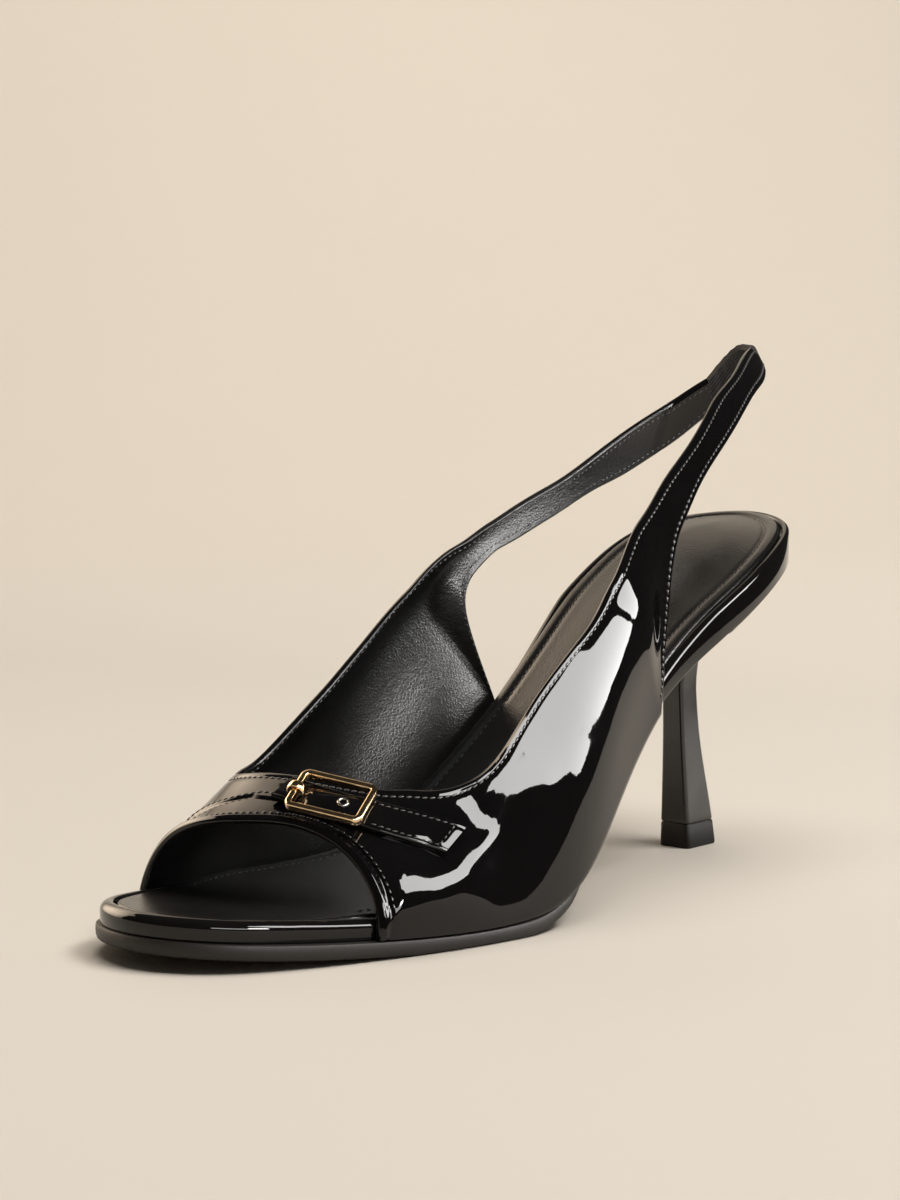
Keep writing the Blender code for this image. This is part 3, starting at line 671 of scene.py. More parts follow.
def stemRing(height, draw, points):
    # ring of the stem at a height, drawn in towards its middle
    front, back, wideFront, wideBack = tableCurve(heel["stem"], height)[0]
    chip, chipPoints = heel["corner"]
    bevel, deep, bevelPoints = heel["bevel"]
    bevel = bevel * wideBack
    turn = quarterTurn(chipPoints)
    corner = np.column_stack([front - chip * (1 - np.cos(turn)), wideFront - chip * (1 - np.sin(turn))])
    turn = quarterTurn(bevelPoints)
    behind, beside = back + bevel * (1 - np.sin(turn)), wideBack - bevel * deep * (1 - np.cos(turn))
    path = np.vstack([corner, np.column_stack([behind, beside])])
    path = np.vstack([path, path[::-1] * (1, -1)])
    first, second = heel["knots"]
    knots = np.concatenate([np.linspace(*first, chipPoints), np.linspace(*second, bevelPoints)])
    knots = np.concatenate([knots, 1 - knots[::-1]])
    ring = interpColumns(np.linspace(0, 1, points[0]), knots, path)
    breast = np.linspace(-wideFront + chip, wideFront - chip, points[1] + 1)[1:-1]
    ring = np.vstack([ring, np.column_stack([np.full(len(breast), front), breast])]) + (0, heel["side"])
    middle = (ring.max(0) + ring.min(0)) / 2
    return np.column_stack([middle + (ring - middle) * draw, np.full(len(ring), height)])


def seatRing(points):
    lateral, medial = offsetPlan(crowded(*heel["seatRun"]), heel["seatMargin"])
    loop = np.vstack([lateral[::-1], medial[1:]])
    along = runAlong(loop)
    ring = interpColumns(np.linspace(0, along[-1], points[0]), along, loop)
    breast = np.linspace(0, 1, points[1] + 1)[1:-1, None]
    return np.vstack([ring, ring[-1] + (ring[0] - ring[-1]) * breast])


def makeHeel():
    start = heel["tip"][-1][0] + heel["gap"]
    rise, stemTop, stemCount = heel["stemRun"]
    levels = [(start + up, draw) for up, draw in heel["foot"]]
    levels += [(height, 1.0) for height in np.linspace(start + rise, stemTop, stemCount)]
    rings = [stemRing(height, draw, heel["points"]) for height, draw in levels]
    stem = rings[-1]
    seat = seatRing(heel["points"])
    seatHeight = featherHeight(seat[:, 0]) - heel["seatGap"]
    cup = np.array(heel["cup"])
    along = runAlong(cup)
    for out, up in smoothCurve(along, cup, np.linspace(0, along[-1], heel["cupLevels"]))[1:]:
        flat = stem[:, :2] + (seat - stem[:, :2]) * max(out, 0)
        rings.append(np.column_stack([flat, stem[:, 2] + (seatHeight - stem[:, 2]) * min(up, 1)]))
    rings = np.array(rings)
    levels, count = rings.shape[:2]
    faces = gridFaces(levels, count, closedColumns=True)
    faces.append(range(count))
    # the seat is closed in strips across it, and at its front
    top = (levels - 1) * count
    back = heel["points"][0]
    half = back // 2
    for i in range(half):
        a, b = top + i, top + i + 1
        c, d = top + back - 2 - i, top + back - 1 - i
        faces.append((a, b, c, d) if i < half - 1 else (a, b, d))
    faces.append([*range(top + back - 1, top + count), top])
    piece = makePiece("heelStem", rings.reshape(-1, 3), faces, [finishes["lacquer"]], sharp=35)
    settle(piece, "heel_cover", "heel")


def makeTip():
    rings = [stemRing(height, draw, heel["tipPoints"]) for height, draw in heel["tip"]]
    settle(makeTube("heelTopPiece", rings, finishes["tip"], 35), "tip_rubber", "heel_tip")


makeHeel()
makeTip()


# upper: vamp, quarters and straps in one wall

upper = {
    # top station, top turn, low station, low turn
    "rows": [
        (8.4, 79.8, 5.0, 60.5), (19.7, 70.3, 13.5, 56.0), (30.5, 62.6, 23.0, 52.5),
        (42.4, 56.1, 33.5, 47.5), (52.1, 48.5, 43.5, 42.0), (61.0, 41.4, 53.0, 36.4),
        (70.0, 35.9, 61.5, 31.0), (79.5, 31.8, 69.0, 25.7), (88.0, 29.2, 74.5, 21.9),
        (96.0, 28.7, 78.3, 17.2), (103.0, 28.2, 80.6, 12.3), (108.5, 28.5, 83.5, 6.0),
        (113.5, 29.2, 86.7, 0.0), (120.0, 31.5, 99.0, 0.0), (128.0, 35.7, 114.0, 0.0),
        (138.0, 39.5, 131.0, 0.0), (148.0, 39.1, 148.0, 0.0), (158.0, 38.2, 164.0, 0.0),
        (167.4, 42.3, 180.0, 0.0), (173.5, 49.5, 194.3, 0.0), (177.4, 55.1, 193.7, 22.0),
        (180.3, 62.5, 194.6, 45.0), (182.6, 71.5, 198.0, 68.0), (184.4, 86.0, 203.0, 88.0),
        (184.9, 98.0, 205.0, 108.0), (183.8, 110.0, 204.3, 131.0), (180.8, 121.5, 204.2, 156.0),
        (176.5, 127.0, 205.5, 180.0), (170.0, 132.5, 194.0, 180.0), (162.0, 130.5, 178.0, 180.0),
        (153.2, 128.1, 161.0, 180.0), (144.0, 130.0, 144.0, 180.0), (136.0, 134.8, 127.0, 180.0),
        (128.5, 139.8, 109.0, 180.0), (121.5, 144.3, 91.0, 180.0), (117.5, 146.4, 95.5, 172.8),
        (113.5, 148.0, 98.8, 166.5), (109.0, 149.8, 99.8, 162.0), (104.0, 151.7, 97.3, 160.0),
        (98.5, 153.4, 92.5, 159.6), (91.0, 154.2, 86.5, 159.4), (80.0, 154.0, 77.0, 159.5),
        (62.0, 150.7, 61.0, 157.6), (44.0, 144.7, 44.5, 155.0), (29.5, 139.0, 30.5, 154.2),
        (19.3, 133.9, 19.0, 151.0), (13.0, 128.0, 11.5, 146.0), (9.5, 123.6, 5.5, 138.5),
    ],
    "corners": (12, 19, 27, 34),  # rows where the low edge turns: strap, feather, opening, feather, strap
    "proud": 0.6,  # outer face outside the last
    "wall": 1.8,
    "lift": 0.15,
    "steps": 8,
    "openingSteps": 14,
    "cornerSteps": 22,
    # columns near the top and the low edge, by distance from it, drawn together where a row is narrow
    "nearTop": [0.9, 1.3, 1.7, 2.1, 2.5, 3.0, 3.6],
    "nearLow": [4.6, 4.0, 3.5, 3.0, 2.6, 2.2, 1.8, 1.4, 1.1, 0.9],
    "narrow": 12.0,
    "middleColumns": 46,
    "edgeSteps": 9,
    "featherEdge": 0.35,
    "openingPoints": 700,
    "reachPoints": 13,
    "openingReach": 165,  # station where the opening's band can begin
    "binding": [(0, 3.6), (50, 3.8), (70, 8.0), (90, 11.5), (120, 9.5), (180, 6.0)],  # turn, width
    "bindingSink": 0.5,
    "bindingStep": 0.35,
    "rollCentre": 1.5,
    "rollRise": 0.85,
    "rollWidth": 1.05,
    "stitchInset": 2.1,
    "stitchGroove": (0.14, 0.7),  # depth, width
    # slack of the wall: row of the cut, spread in rows, share of the way down, bulge
    "slack": [(11.8, 2.4, 0.40, 2.8), (33.5, 4.0, 0.42, 5.2), (17.6, 1.0, 0.22, -0.5),
              (18.6, 1.1, 0.66, 2.0), (16.6, 0.8, 0.24, 1.0), (16.6, 0.8, 0.60, -1.1)],
    "strapLean": -0.05,  # turn of the lateral strap about its length
    "leanRows": (0.6, 2.4, 10.5, 11.9),
    "foldFrom": 44.9,  # row where the medial strap is folded back over the elastic
    "foldRows": 0.1,
    "foldRise": 0.45,
    # soft creases: station and turn at both ends, width, depth (a trough is negative), mm
    "creases": [
        (86, 27.0, 95, 21.0, 1.7, -0.14), (90, 28.0, 100, 21.5, 1.6, 0.12),
        (95, 28.0, 104, 22.0, 1.9, -0.13), (82, 28.0, 89, 23.5, 1.5, 0.10),
        (101, 27.5, 108, 23.0, 1.8, 0.09), (166, 40.0, 160, 20.0, 4.2, -0.30),
        (170, 44.0, 166, 24.0, 4.6, 0.22), (150, 37.5, 150, 18.0, 6.0, -0.20),
        (132, 37.0, 124, 16.0, 7.0, 0.16), (158, 26.0, 178, 11.0, 3.2, 0.32),
        (159, 24.6, 171, 15.8, 2.0, 0.36), (162, 42.5, 137, 19.0, 7.5, 0.76),
        (153, 41.0, 139, 37.0, 5.0, 0.46), (165, 128, 172, 150, 5.0, -0.2),
        (150, 126, 152, 150, 6.0, 0.2),
    ],
    "creaseEnds": (0.08, 0.92),  # shares of a crease between which it fades in and out
    # height, length, direction
    "ripples": [(0.016, 19.0, 0.3, 0.9, 0.5), (0.008, 11.0, 0.8, -0.4, 0.6), (0.004, 6.5, -0.6, 0.5, 0.8)],
    "wander": (1.7, 23.0, 17.0),  # bend of the ripples, its length along the shoe, slant across it
    "calm": (3.0, 9.0),  # the ripples come in between these distances from the opening
}
finalRow = len(upper["rows"]) - 1


def upperPlaces():
    # places along the cut, finer round the opening and finest at its corners
    opening, close = upper["corners"][1:3]
    spots = [0.0]
    for i in range(finalRow):
        steps = upper["openingSteps"] if opening <= i < close else upper["steps"]
        if i in (opening - 1, close):
            steps = upper["cornerSteps"]
        spots += [i + (k + 1) / steps for k in range(steps)]
    return np.array(spots)


def upperEdges(spots):
    # top and low edges of the cut; the low edge keeps its corners
    table = np.array(upper["rows"])
    top = rowCurve(table[:, :2], spots)
    low = np.zeros((len(spots), 2))
    corners = (0, *upper["corners"], finalRow)
    for start, end in zip(corners[:-1], corners[1:]):
        inside = (spots >= start) & (spots <= end)
        low[inside] = rowCurve(table[start:end + 1, 2:], spots[inside] - start)
    low[:, 1] = np.clip(low[:, 1], 0, 180)
    return top, low


def rowReach(top, low):
    # length of each row over the last
    share = np.linspace(0, 1, upper["reachPoints"])[None, :, None]
    points = lastPoint(top[:, None] * (1 - share) + low[:, None] * share)
    return np.linalg.norm(np.diff(points, axis=1), axis=-1).sum(1)


def wallSlack(spots, share):
    # how far the wall bulges off the last, nothing at its edges
    share = np.clip(share, 0, 1)
    bulge = np.zeros(share.shape)
    for row, spread, peak, height in upper["slack"]:
        power = 2 * peak / (1 - peak)
        shape = (share / peak) ** power * ((1 - share) / (1 - peak)) ** 2
        bulge += height * hump(spots - row, spread) * shape
    return bulge


def strapLean(spots, share, reach):
    begin, full, fading, end = upper["leanRows"]
    hold = ease(spots, begin, full) * (1 - ease(spots, fading, end))
    return upper["strapLean"] * hold * (np.clip(share, 0, 1) - 0.5) * reach


def innerLevel(spots):
    # level of the inner face, with the fold over the elastic
    fold = upper["foldRise"] * ease(spots, upper["foldFrom"], upper["foldFrom"] + upper["foldRows"])
    return upper["proud"] - upper["wall"] - fold


def wallFace(spots, top, low, share):
    # points and normals of the slack wall at shares of the way from its top edge to its low edge
    cut = top * (1 - share[..., None]) + low * share[..., None]
    normal = lastNormal(cut)
    reach = np.linalg.norm(lastPoint(top) - lastPoint(low), axis=-1)
    out = wallSlack(spots, share) + strapLean(spots, share, reach)
    return lastPoint(cut) + normal * out[..., None], normal


openingCut = upperEdges(np.linspace(*upper["corners"][1:3], upper["openingPoints"]))[1]
openingPoints = lastPoint(openingCut)


def openingDistance(points):
    # distance from the toe opening's edge, and the turn of the edge nearest to each point
    near = np.full(points.shape[:-1], 1e9)
    turn = np.zeros(points.shape[:-1])
    front = points[..., 0] > upper["openingReach"]
    near[front], which = nearestOn(points[front], openingPoints)
    turn[front] = openingCut[which, 1]
    return near, turn


def bindingWidth(turn):
    return column(upper["binding"], 1)(turn)


def outerRelief(points, topGap):
    # height of the outer face over the plain last: band, rolled rim, stitch groove, creases, ripples
    near, turn = openingDistance(points)
    width, step = bindingWidth(turn), upper["bindingStep"]
    depth, wide = upper["stitchGroove"]
    relief = -upper["bindingSink"] * (1 - ease(near, width - step, width + step))
    relief += upper["rollRise"] * hump(near - upper["rollCentre"], upper["rollWidth"])
    relief -= depth * hump(topGap - upper["stitchInset"], wide)
    for s0, t0, s1, t1, wide, depth in upper["creases"]:
        start = lastPoint((s0, t0))
        way = lastPoint((s1, t1)) - start
        share = np.clip(((points - start) @ way) / (way @ way), 0, 1)
        gap = np.linalg.norm(points - (start + share[..., None] * way), axis=-1)
        relief += depth * hump(gap, wide) * np.sin(np.pi * np.clip(share, *upper["creaseEnds"]))
    calm = ease(near, *upper["calm"])
    bend, length, slant = upper["wander"]
    wander = bend * np.sin(points[..., 0] / length) + points[..., 1] / slant
    for height, length, *way in upper["ripples"]:
        relief += height * calm * np.sin(2 * np.pi / length * (points @ np.array(way)) + wander)
    return relief


def makeUpper():
    spots = upperPlaces()
    top, low = upperEdges(spots)
    reach = rowReach(top, low)[:, None]
    half, proud = upper["wall"] / 2, upper["proud"]
    # distances from the top edge across each row: outer face, low edge, inner face, top edge
    squeeze = np.minimum(1, reach / upper["narrow"])
    fromTop = np.array(upper["nearTop"]) * squeeze
    fromLow = reach - np.array(upper["nearLow"]) * squeeze
    share = np.linspace(0, 1, upper["middleColumns"] + 2)[1:-1]
    middle = fromTop[:, -1:] + (fromLow[:, :1] - fromTop[:, -1:]) * share
    across = np.hstack([fromTop, middle, fromLow])
    bend = np.linspace(0, np.pi, upper["edgeSteps"])[1:-1]
    a, b, c, d = upper["corners"]
    onFeather = ((spots >= a) & (spots <= b)) | ((spots >= c) & (spots <= d))
    depth = np.where(onFeather, upper["featherEdge"], half)[:, None]
    lowRound = reach - depth + depth * np.sin(bend)
    topRound = np.tile(half - half * np.sin(bend), (len(spots), 1))
    spread = np.hstack([across, lowRound, across[:, ::-1], topRound])
    face, normal = wallFace(spots[:, None], top[:, None], low[:, None], spread / reach)
    # heights over the last, in the same order
    count, turns = across.shape[1], len(bend)
    inside = slice(count + turns, 2 * count + turns)
    turnOver = proud - half + half * np.cos(bend)
    relief = outerRelief(face[:, :count], spread[:, :count])
    raised = np.zeros(spread.shape)
    raised[:, :count] = proud + relief
    raised[:, count:inside.start] = turnOver + relief[:, -1:] * (1 + np.cos(bend)) / 2
    raised[:, inside] = innerLevel(spots)[:, None]
    raised[:, inside.stop:] = turnOver[::-1]
    points = face + normal * raised[..., None] + (0, 0, upper["lift"])
    # the inner face is lining, up to the fold
    rows, columns = spread.shape
    faces = gridFaces(rows, columns, closedColumns=True)
    slots = np.zeros((rows - 1, columns), int)
    slots[spots[:-1] < upper["foldFrom"], count + turns // 2 + 1:inside.stop + turns // 2 - 1] = 1
    for start in (0, (rows - 1) * columns):
        last = start + inside.stop - 1
        faces += [(start + j, start + j + 1, last - j - 1, last - j) for j in range(count - 1)]
        faces.append(range(start + count - 1, start + inside.start + 1))
        faces.append([*range(last, start + columns), start])
    slots = np.append(slots, np.zeros(len(faces) - slots.size, int))
    materials = [finishes["patent"], finishes["lining"]]
    piece = makePiece("upperShell", points.reshape(-1, 3), faces, materials, slots, sharp=60)
    settle(piece, "upper_patent", "upper")


makeUpper()


# elastic between the strap ends

elastic = {
    # the same columns as the upper's rows
    "rows": [(9.5, 123.6, 5.5, 138.5), (7.6, 111.0, 2.6, 124.0), (7.0, 97.0, 2.0, 98.0),
             (8.4, 79.8, 5.0, 60.5)],
    "wall": 1.2,
    "trim": 0.012,
    "margin": 0.06,
    "sink": 0.3,
    "lengthSteps": 60,
    "columns": 22,
    "rib": (0.1, 14 * math.pi),  # depth, radians across
    "gather": (0.07, 40),  # depth, radians along
}


def makeElastic():
    rows, columns = elastic["lengthSteps"], elastic["columns"]
    spots = np.linspace(elastic["trim"], len(elastic["rows"]) - 1 - elastic["trim"], rows)
    edges = rowCurve(elastic["rows"], spots)[:, None]
    share = np.linspace(elastic["margin"], 1 - elastic["margin"], columns)[None, :, None]
    cut = edges[..., :2] * (1 - share) + edges[..., 2:] * share
    face, normal = lastPoint(cut), lastNormal(cut)
    depth, sweep = elastic["rib"]
    rib = depth * np.cos(np.linspace(0, sweep, columns))[None, :, None]
    depth, sweep = elastic["gather"]
    gather = depth * np.sin(np.linspace(0, sweep, rows))[:, None, None]
    level = upper["proud"] - elastic["sink"] + gather
    outer = face + normal * (level + rib)
    inner = face + normal * (level - elastic["wall"] - rib)
    grid = np.meshgrid(np.linspace(0, 2, rows), np.linspace(0, 1, columns), indexing="ij")
    uvs = np.tile(np.stack(grid, -1).reshape(-1, 2), (2, 1))
    piece = makeSlab("heelElastic", outer, inner, [finishes["elastic"]], uvs=uvs)
    settle(piece, "elastic", "elastic_gore")


makeElastic()


# tab and buckle on the vamp

tab = {
    "path": [(189.8, 81.0), (189.4, 70.0), (187.6, 59.0), (184.7, 50.5), (180.1, 40.3), (171.0, 26.6)],
    "width": 8.3,
    "skew": 0.42,  # the tail is cut on a slant
    "skewFrom": 0.7,
    "thick": 1.5,
    "dome": 1.0,
    "domeReach": 0.27,  # share of the buckle's length
    "tail": (0.86, 0.6),  # share where the tail begins to lift, rise
    "edge": (0.5, 0.7),  # drop and width of the rounded edge
    "seam": (0.09, 0.4),  # depth and width of the stitched line
    "gap": 0.3,
    "buckleShare": 0.35,
    "rows": 140,
    "columns": 25,
    "stitchInset": 1.1,
    "eyeletShare": 0.43,
    "eyelet": (1.15, 0.3),  # radius and wire of the eyelet
    "eyeletPoints": (28, 10),
}
buckle = {
    "length": 19.2,
    "breadth": 13.2,
    "bar": 1.65,
    "height": 2.2,
    "seatGaps": 1.5,  # of the tab's gap, under the frame
    "turn": 5.0,  # degrees about its middle
    "corner": 2.2,
    "bow": 120.0,
    "wire": 0.55,
    "squareness": 0.6,
    "points": (13, 24),  # round a corner, round the bar
    "prongLength": 2.2,
    "prongDrop": 0.55,
    "prongTurn": (-12, 192, 25),  # first and last degree round the bar, points
    "prongSquareness": 0.7,
    "prongPoints": 20,
}


def tabFrames(share):
    path = tab["path"]
    spots = np.asarray(share) * (len(path) - 1)
    step = 1e-3 * (len(path) - 1)
    cut = rowCurve(path, spots)
    normal = lastNormal(cut)
    along = unit(lastPoint(rowCurve(path, spots + step)) - lastPoint(rowCurve(path, spots - step)))
    point = lastPoint(cut) + normal * (upper["proud"] + tab["gap"]) + (0, 0, upper["lift"])
    return point, normal, along, np.cross(normal, along)


def tabFace(share, across):
    # underside of the tab and its top face, across from -0.5 to 0.5
    point, normal, along, side = tabFrames(share)
    run = runAlong(point)
    gone = run / run[-1]
    tailFrom, tailRise = tab["tail"]
    bulge = tab["dome"] * hump(run - tab["buckleShare"] * run[-1], buckle["length"] * tab["domeReach"])
    slant = ease(gone, tab["skewFrom"], 1.0)[:, None] * across * tab["width"] * tab["skew"]
    base = point[:, None] + side[:, None] * (across * tab["width"])[None, :, None]
    base = base + along[:, None] * slant[..., None]
    tail = tailRise * ease(gone, tailFrom, 1.0)
    lift = tab["thick"] + tail[:, None] + bulge[:, None] * np.cos(across * math.pi)
    return base, base + normal[:, None] * lift[..., None], normal, along, side


def makeTab():
    across = np.sin(np.linspace(-np.pi / 2, np.pi / 2, tab["columns"])) * 0.5
    base, face, normal = tabFace(np.linspace(0, 1, tab["rows"]), across)[:3]
    edge = (0.5 - np.abs(across)) * tab["width"]
    drop, width = tab["edge"]
    drop = drop * (1 - np.sqrt(np.clip(1 - (1 - np.clip(edge / width, 0, 1)) ** 2, 0, 1)))
    depth, width = tab["seam"]
    seam = depth * hump(edge - tab["stitchInset"], width)
    face = face - normal[:, None] * (drop + seam)[None, :, None]
    # the cut ends are left raw
    piece = makeSlab("vampTab", face, base, [finishes["patent"], finishes["rawEdge"]], endSlot=1, sharp=45)
    settle(piece, "tab_patent", "vamp_tab")


def makeEyelet():
    # small rolled rim round the hole that the prong would take
    face, normal, along, side = tabFace(np.linspace(0, 1, tab["rows"]), np.array([0.0]))[1:]
    k = int(round(tab["eyeletShare"] * (tab["rows"] - 1)))
    radius, wire = tab["eyelet"]
    ringPoints, wirePoints = tab["eyeletPoints"]
    rings = []
    for turn in fullTurn(ringPoints):
        out = along[k] * math.cos(turn) + side[k] * math.sin(turn)
        angle = fullTurn(wirePoints)[:, None]
        ring = out * (radius + wire * np.cos(angle)) + normal[k] * (wire * np.sin(angle))
        rings.append(face[k, 0] + ring)
    settle(makeTube("tabEyelet", rings, finishes["eyelet"], 60, closed=True), "prong_metal")


makeTab()
makeEyelet()


def buckleSeat():
    point, normal, along, side = (rows[0] for rows in tabFrames(np.array([tab["buckleShare"]])))
    turn = math.radians(buckle["turn"])
    ahead = along * math.cos(turn) + side * math.sin(turn)
    centre = point + normal * (tab["thick"] + buckle["seatGaps"] * tab["gap"])
    return centre, normal, ahead, np.cross(normal, ahead)


def makeBuckle():
    centre, normal, along, side = buckleSeat()
    cornerPoints, barPoints = buckle["points"]
    loop = []
    for k in range(4):
        cx = (buckle["length"] / 2 - buckle["corner"]) * (1 if k in (0, 3) else -1)
        cy = (buckle["breadth"] / 2 - buckle["corner"]) * (1 if k in (0, 1) else -1)
        for angle in k * math.pi / 2 + quarterTurn(cornerPoints):
            loop.append((cx, cy, math.cos(angle), math.sin(angle)))
    loop = np.array(loop)
    rings = []
    for angle in fullTurn(barPoints):
        inset = 0.5 - 0.5 * boxy(math.cos(angle), buckle["squareness"])
        up = 0.5 + 0.5 * boxy(math.sin(angle), buckle["squareness"])
        flat = loop[:, :2] + loop[:, 2:] * (buckle["corner"] - buckle["bar"] * inset)
        bow = flat[:, 0] ** 2 / (2 * buckle["bow"])
        rise = np.outer(up * buckle["height"] - bow, normal)
        rings.append(centre + flat[:, :1] * along + flat[:, 1:] * side + rise)
    piece = makeTube("buckleFrame", rings, finishes["gold"], 60, closed=True)
    settle(piece, "buckle_metal", "buckle_frame")


def makeProng():
    # short loop of flat wire over the frame's first bar
    centre, normal, along, side = buckleSeat()
    bar = centre - along * (buckle["length"] - buckle["bar"]) / 2
    bar = bar + normal * (buckle["height"] / 2 - buckle["prongDrop"])
    room = tab["gap"] + buckle["wire"]
    rings = []
    for turn in np.radians(np.linspace(*buckle["prongTurn"])):
        ahead, up = along * math.cos(turn), normal * math.sin(turn)
        middle = bar + ahead * (buckle["bar"] / 2 + room) + up * (buckle["height"] / 2 + room)
        ring = []
        for angle in fullTurn(buckle["prongPoints"]):
            wide = buckle["prongLength"] / 2 * boxy(math.sin(angle), buckle["prongSquareness"])
            ring.append(middle + (ahead + up) * (buckle["wire"] * math.cos(angle)) + side * wide)
        rings.append(ring)
    settle(makeTube("bucklePin", rings, finishes["gold"], 60), "prong_metal", "buckle_prong")


makeBuckle()
makeProng()


# stitches: one node tree lays a thread on every marked point

stitching = {
    "pitch": 1.85,
    "length": 1.5,
    "width": 0.56,
    "height": 0.46,
    "slant": 9.0,  # degrees off the row
    "rise": 0.02,
    "ends": (0.02, 0.15),  # rows left free at the strap ends and at the corners
    "far": 50.0,  # distance at which the top edge's groove has no say
    "lining": (1.2, 0.36),  # length, width
    "opening": (3.9, 0.12, 0.1),  # distance from the edge, rows left free at both corners
    "band": (1.0, 2.6, 0.1),  # the same, beyond the band's width
    "sock": (1.5, 0.4, 2.1),  # length, width, pitch
    "sockRun": (4.0, 218, 192),  # stations of the offset rim, station where the row stops
    "tab": (1.25, 0.36, 1.7),  # length, width, pitch
    "tabRun": (400, 262, 388),  # steps along the tab, first and last of them in the rows
    "tabEnd": (0.0, 0.34, 0.968),  # shares of the tab; the end row is at the final one
    "tabEndPitch": 1.6,
    "tabEndPoints": 40,
    "tabSink": 0.05,
}


def stitchTree():
    tree = bpy.data.node_groups.new("layStitches", "GeometryNodeTree")
    tree.interface.new_socket("Geometry", in_out="INPUT", socket_type="NodeSocketGeometry")
    for label in ("Length", "Width", "Height"):
        tree.interface.new_socket(label, in_out="INPUT", socket_type="NodeSocketFloat")
    tree.interface.new_socket("Thread", in_out="INPUT", socket_type="NodeSocketMaterial")
    tree.interface.new_socket("Geometry", in_out="OUTPUT", socket_type="NodeSocketGeometry")
    source = tree.nodes.new("NodeGroupInput").outputs
    bead = place(tree, "GeometryNodeMeshUVSphere", Segments=8, Rings=6, Radius=0.5).outputs["Mesh"]
    size = place(tree, "ShaderNodeCombineXYZ", X=source["Length"], Y=source["Width"], Z=source["Height"])
    shape = place(tree, "GeometryNodeTransform", Geometry=bead, Scale=size.outputs["Vector"])
    ways = []
    for label in ("along", "out"):
        read = place(tree, "GeometryNodeInputNamedAttribute", Name=label)
        read.data_type = "FLOAT_VECTOR"
        ways.append(read.outputs["Attribute"])
    first = place(tree, "FunctionNodeAlignRotationToVector", Vector=ways[0])
    first.axis = "X"
    second = place(tree, "FunctionNodeAlignRotationToVector", Vector=ways[1],
                   Rotation=first.outputs["Rotation"])
    second.axis = "Z"
    second.pivot_axis = "X"
    lay = place(tree, "GeometryNodeInstanceOnPoints", Points=source["Geometry"],
                Instance=shape.outputs["Geometry"], Rotation=second.outputs["Rotation"])
    real = place(tree, "GeometryNodeRealizeInstances", Geometry=lay.outputs["Instances"])
    soft = place(tree, "GeometryNodeSetShadeSmooth", Geometry=real.outputs["Geometry"])
    paint = place(tree, "GeometryNodeSetMaterial", Geometry=soft.outputs["Geometry"],
                  Material=source["Thread"])
    place(tree, "NodeGroupOutput", Geometry=paint.outputs["Geometry"])
    return tree


stitchNodes = stitchTree()


def spaced(points, normals, pitch):
    # points at an even pitch along a path, with its direction and outward normal there
    run = runAlong(points)
    marks = np.arange(pitch / 2, run[-1], run[-1] / max(1, round(run[-1] / pitch)))
    paths = (points, np.gradient(points, axis=0), normals)
    at, along, out = (interpColumns(marks, run, path) for path in paths)
    return at, unit(along), unit(out)


def layStitches(name, rows, slot, length=stitching["length"], width=stitching["width"], thread="thread"):
    slant = math.radians(stitching["slant"])
    spots, alongs, outs = (np.vstack(parts) for parts in zip(*(spaced(*row) for row in rows)))
    alongs = alongs * math.cos(slant) + np.cross(outs, alongs) * math.sin(slant)
    mesh = bpy.data.meshes.new(name + "Marks")
    mesh.from_pydata([tuple(p) for p in toWorld(spots)], [], [])
    for label, ways in (("along", alongs), ("out", outs)):
        layer = mesh.attributes.new(label, "FLOAT_VECTOR", "POINT")
        layer.data.foreach_set("vector", toWorldWay(ways).astype(np.float32).ravel())
    marks = addObject(name + "Marks", mesh)
    modifier = marks.modifiers.new("layStitches", "NODES")
    modifier.node_group = stitchNodes
    sizes = {
        "Length": length * mm,
        "Width": width * mm,
        "Height": stitching["height"] * mm,
        "Thread": finishes[thread],
    }
    for item in stitchNodes.interface.items_tree:
        if item.in_out == "INPUT" and item.name in sizes:
            modifier[item.identifier] = sizes[item.name]
    graph = bpy.context.evaluated_depsgraph_get()
    made = bpy.data.meshes.new_from_object(marks.evaluated_get(graph))
    made.name = name
    bpy.data.objects.remove(marks, do_unlink=True)
    settle(addObject(name, made), slot)


def onOuterFace(point, normal, topGap):
    rise = upper["proud"] + outerRelief(point, topGap) + stitching["rise"]
    return point + normal * rise[:, None] + (0, 0, upper["lift"]), normal


def edgeRow(start, end, fromTop, inside, count=1600):
    # path at a fixed distance from the top or low edge, on the outer or the inner face
    spots = np.linspace(start, end, count)
    top, low = upperEdges(spots)
    reach = rowReach(top, low)
    inset = np.full(count, upper["stitchInset"])
    run = inset if fromTop else reach - inset
    point, normal = wallFace(spots, top, low, run / reach)
    if inside:
        rise = innerLevel(spots) - stitching["rise"]
        return point + normal * rise[:, None] + (0, 0, upper["lift"]), -normal
    return onOuterFace(point, normal, run if fromTop else np.full(count, stitching["far"]))


def edgeRows(inside):
    free, cornerFree = stitching["ends"]
    corners = upper["corners"]
    runs = [
        (free, finalRow - free, True),
        (free, corners[0] - cornerFree, False),
        (corners[3] + cornerFree, finalRow - free, False),
    ]
    return [(*edgeRow(*run, inside), stitching["pitch"]) for run in runs]


def openingRow(offsetOf, freeFirst, freeLast, count=900, tries=6):
    # path round the toe opening at a distance from its edge
    first, final = upper["corners"][1:3]
    spots = np.linspace(first + freeFirst, final - freeLast, count)
    top, low = upperEdges(spots)
    reach = rowReach(top, low)
    want = run = offsetOf(low[:, 1])
    for k in range(tries):
        point, normal = wallFace(spots, top, low, np.clip(1 - run / reach, 0, 1))
        near = openingDistance(point)[0]
        run = run * np.clip(want / np.maximum(near, 0.2), 0.5, 2.0)
    return (*onOuterFace(point, normal, np.full(count, stitching["far"])), stitching["pitch"])


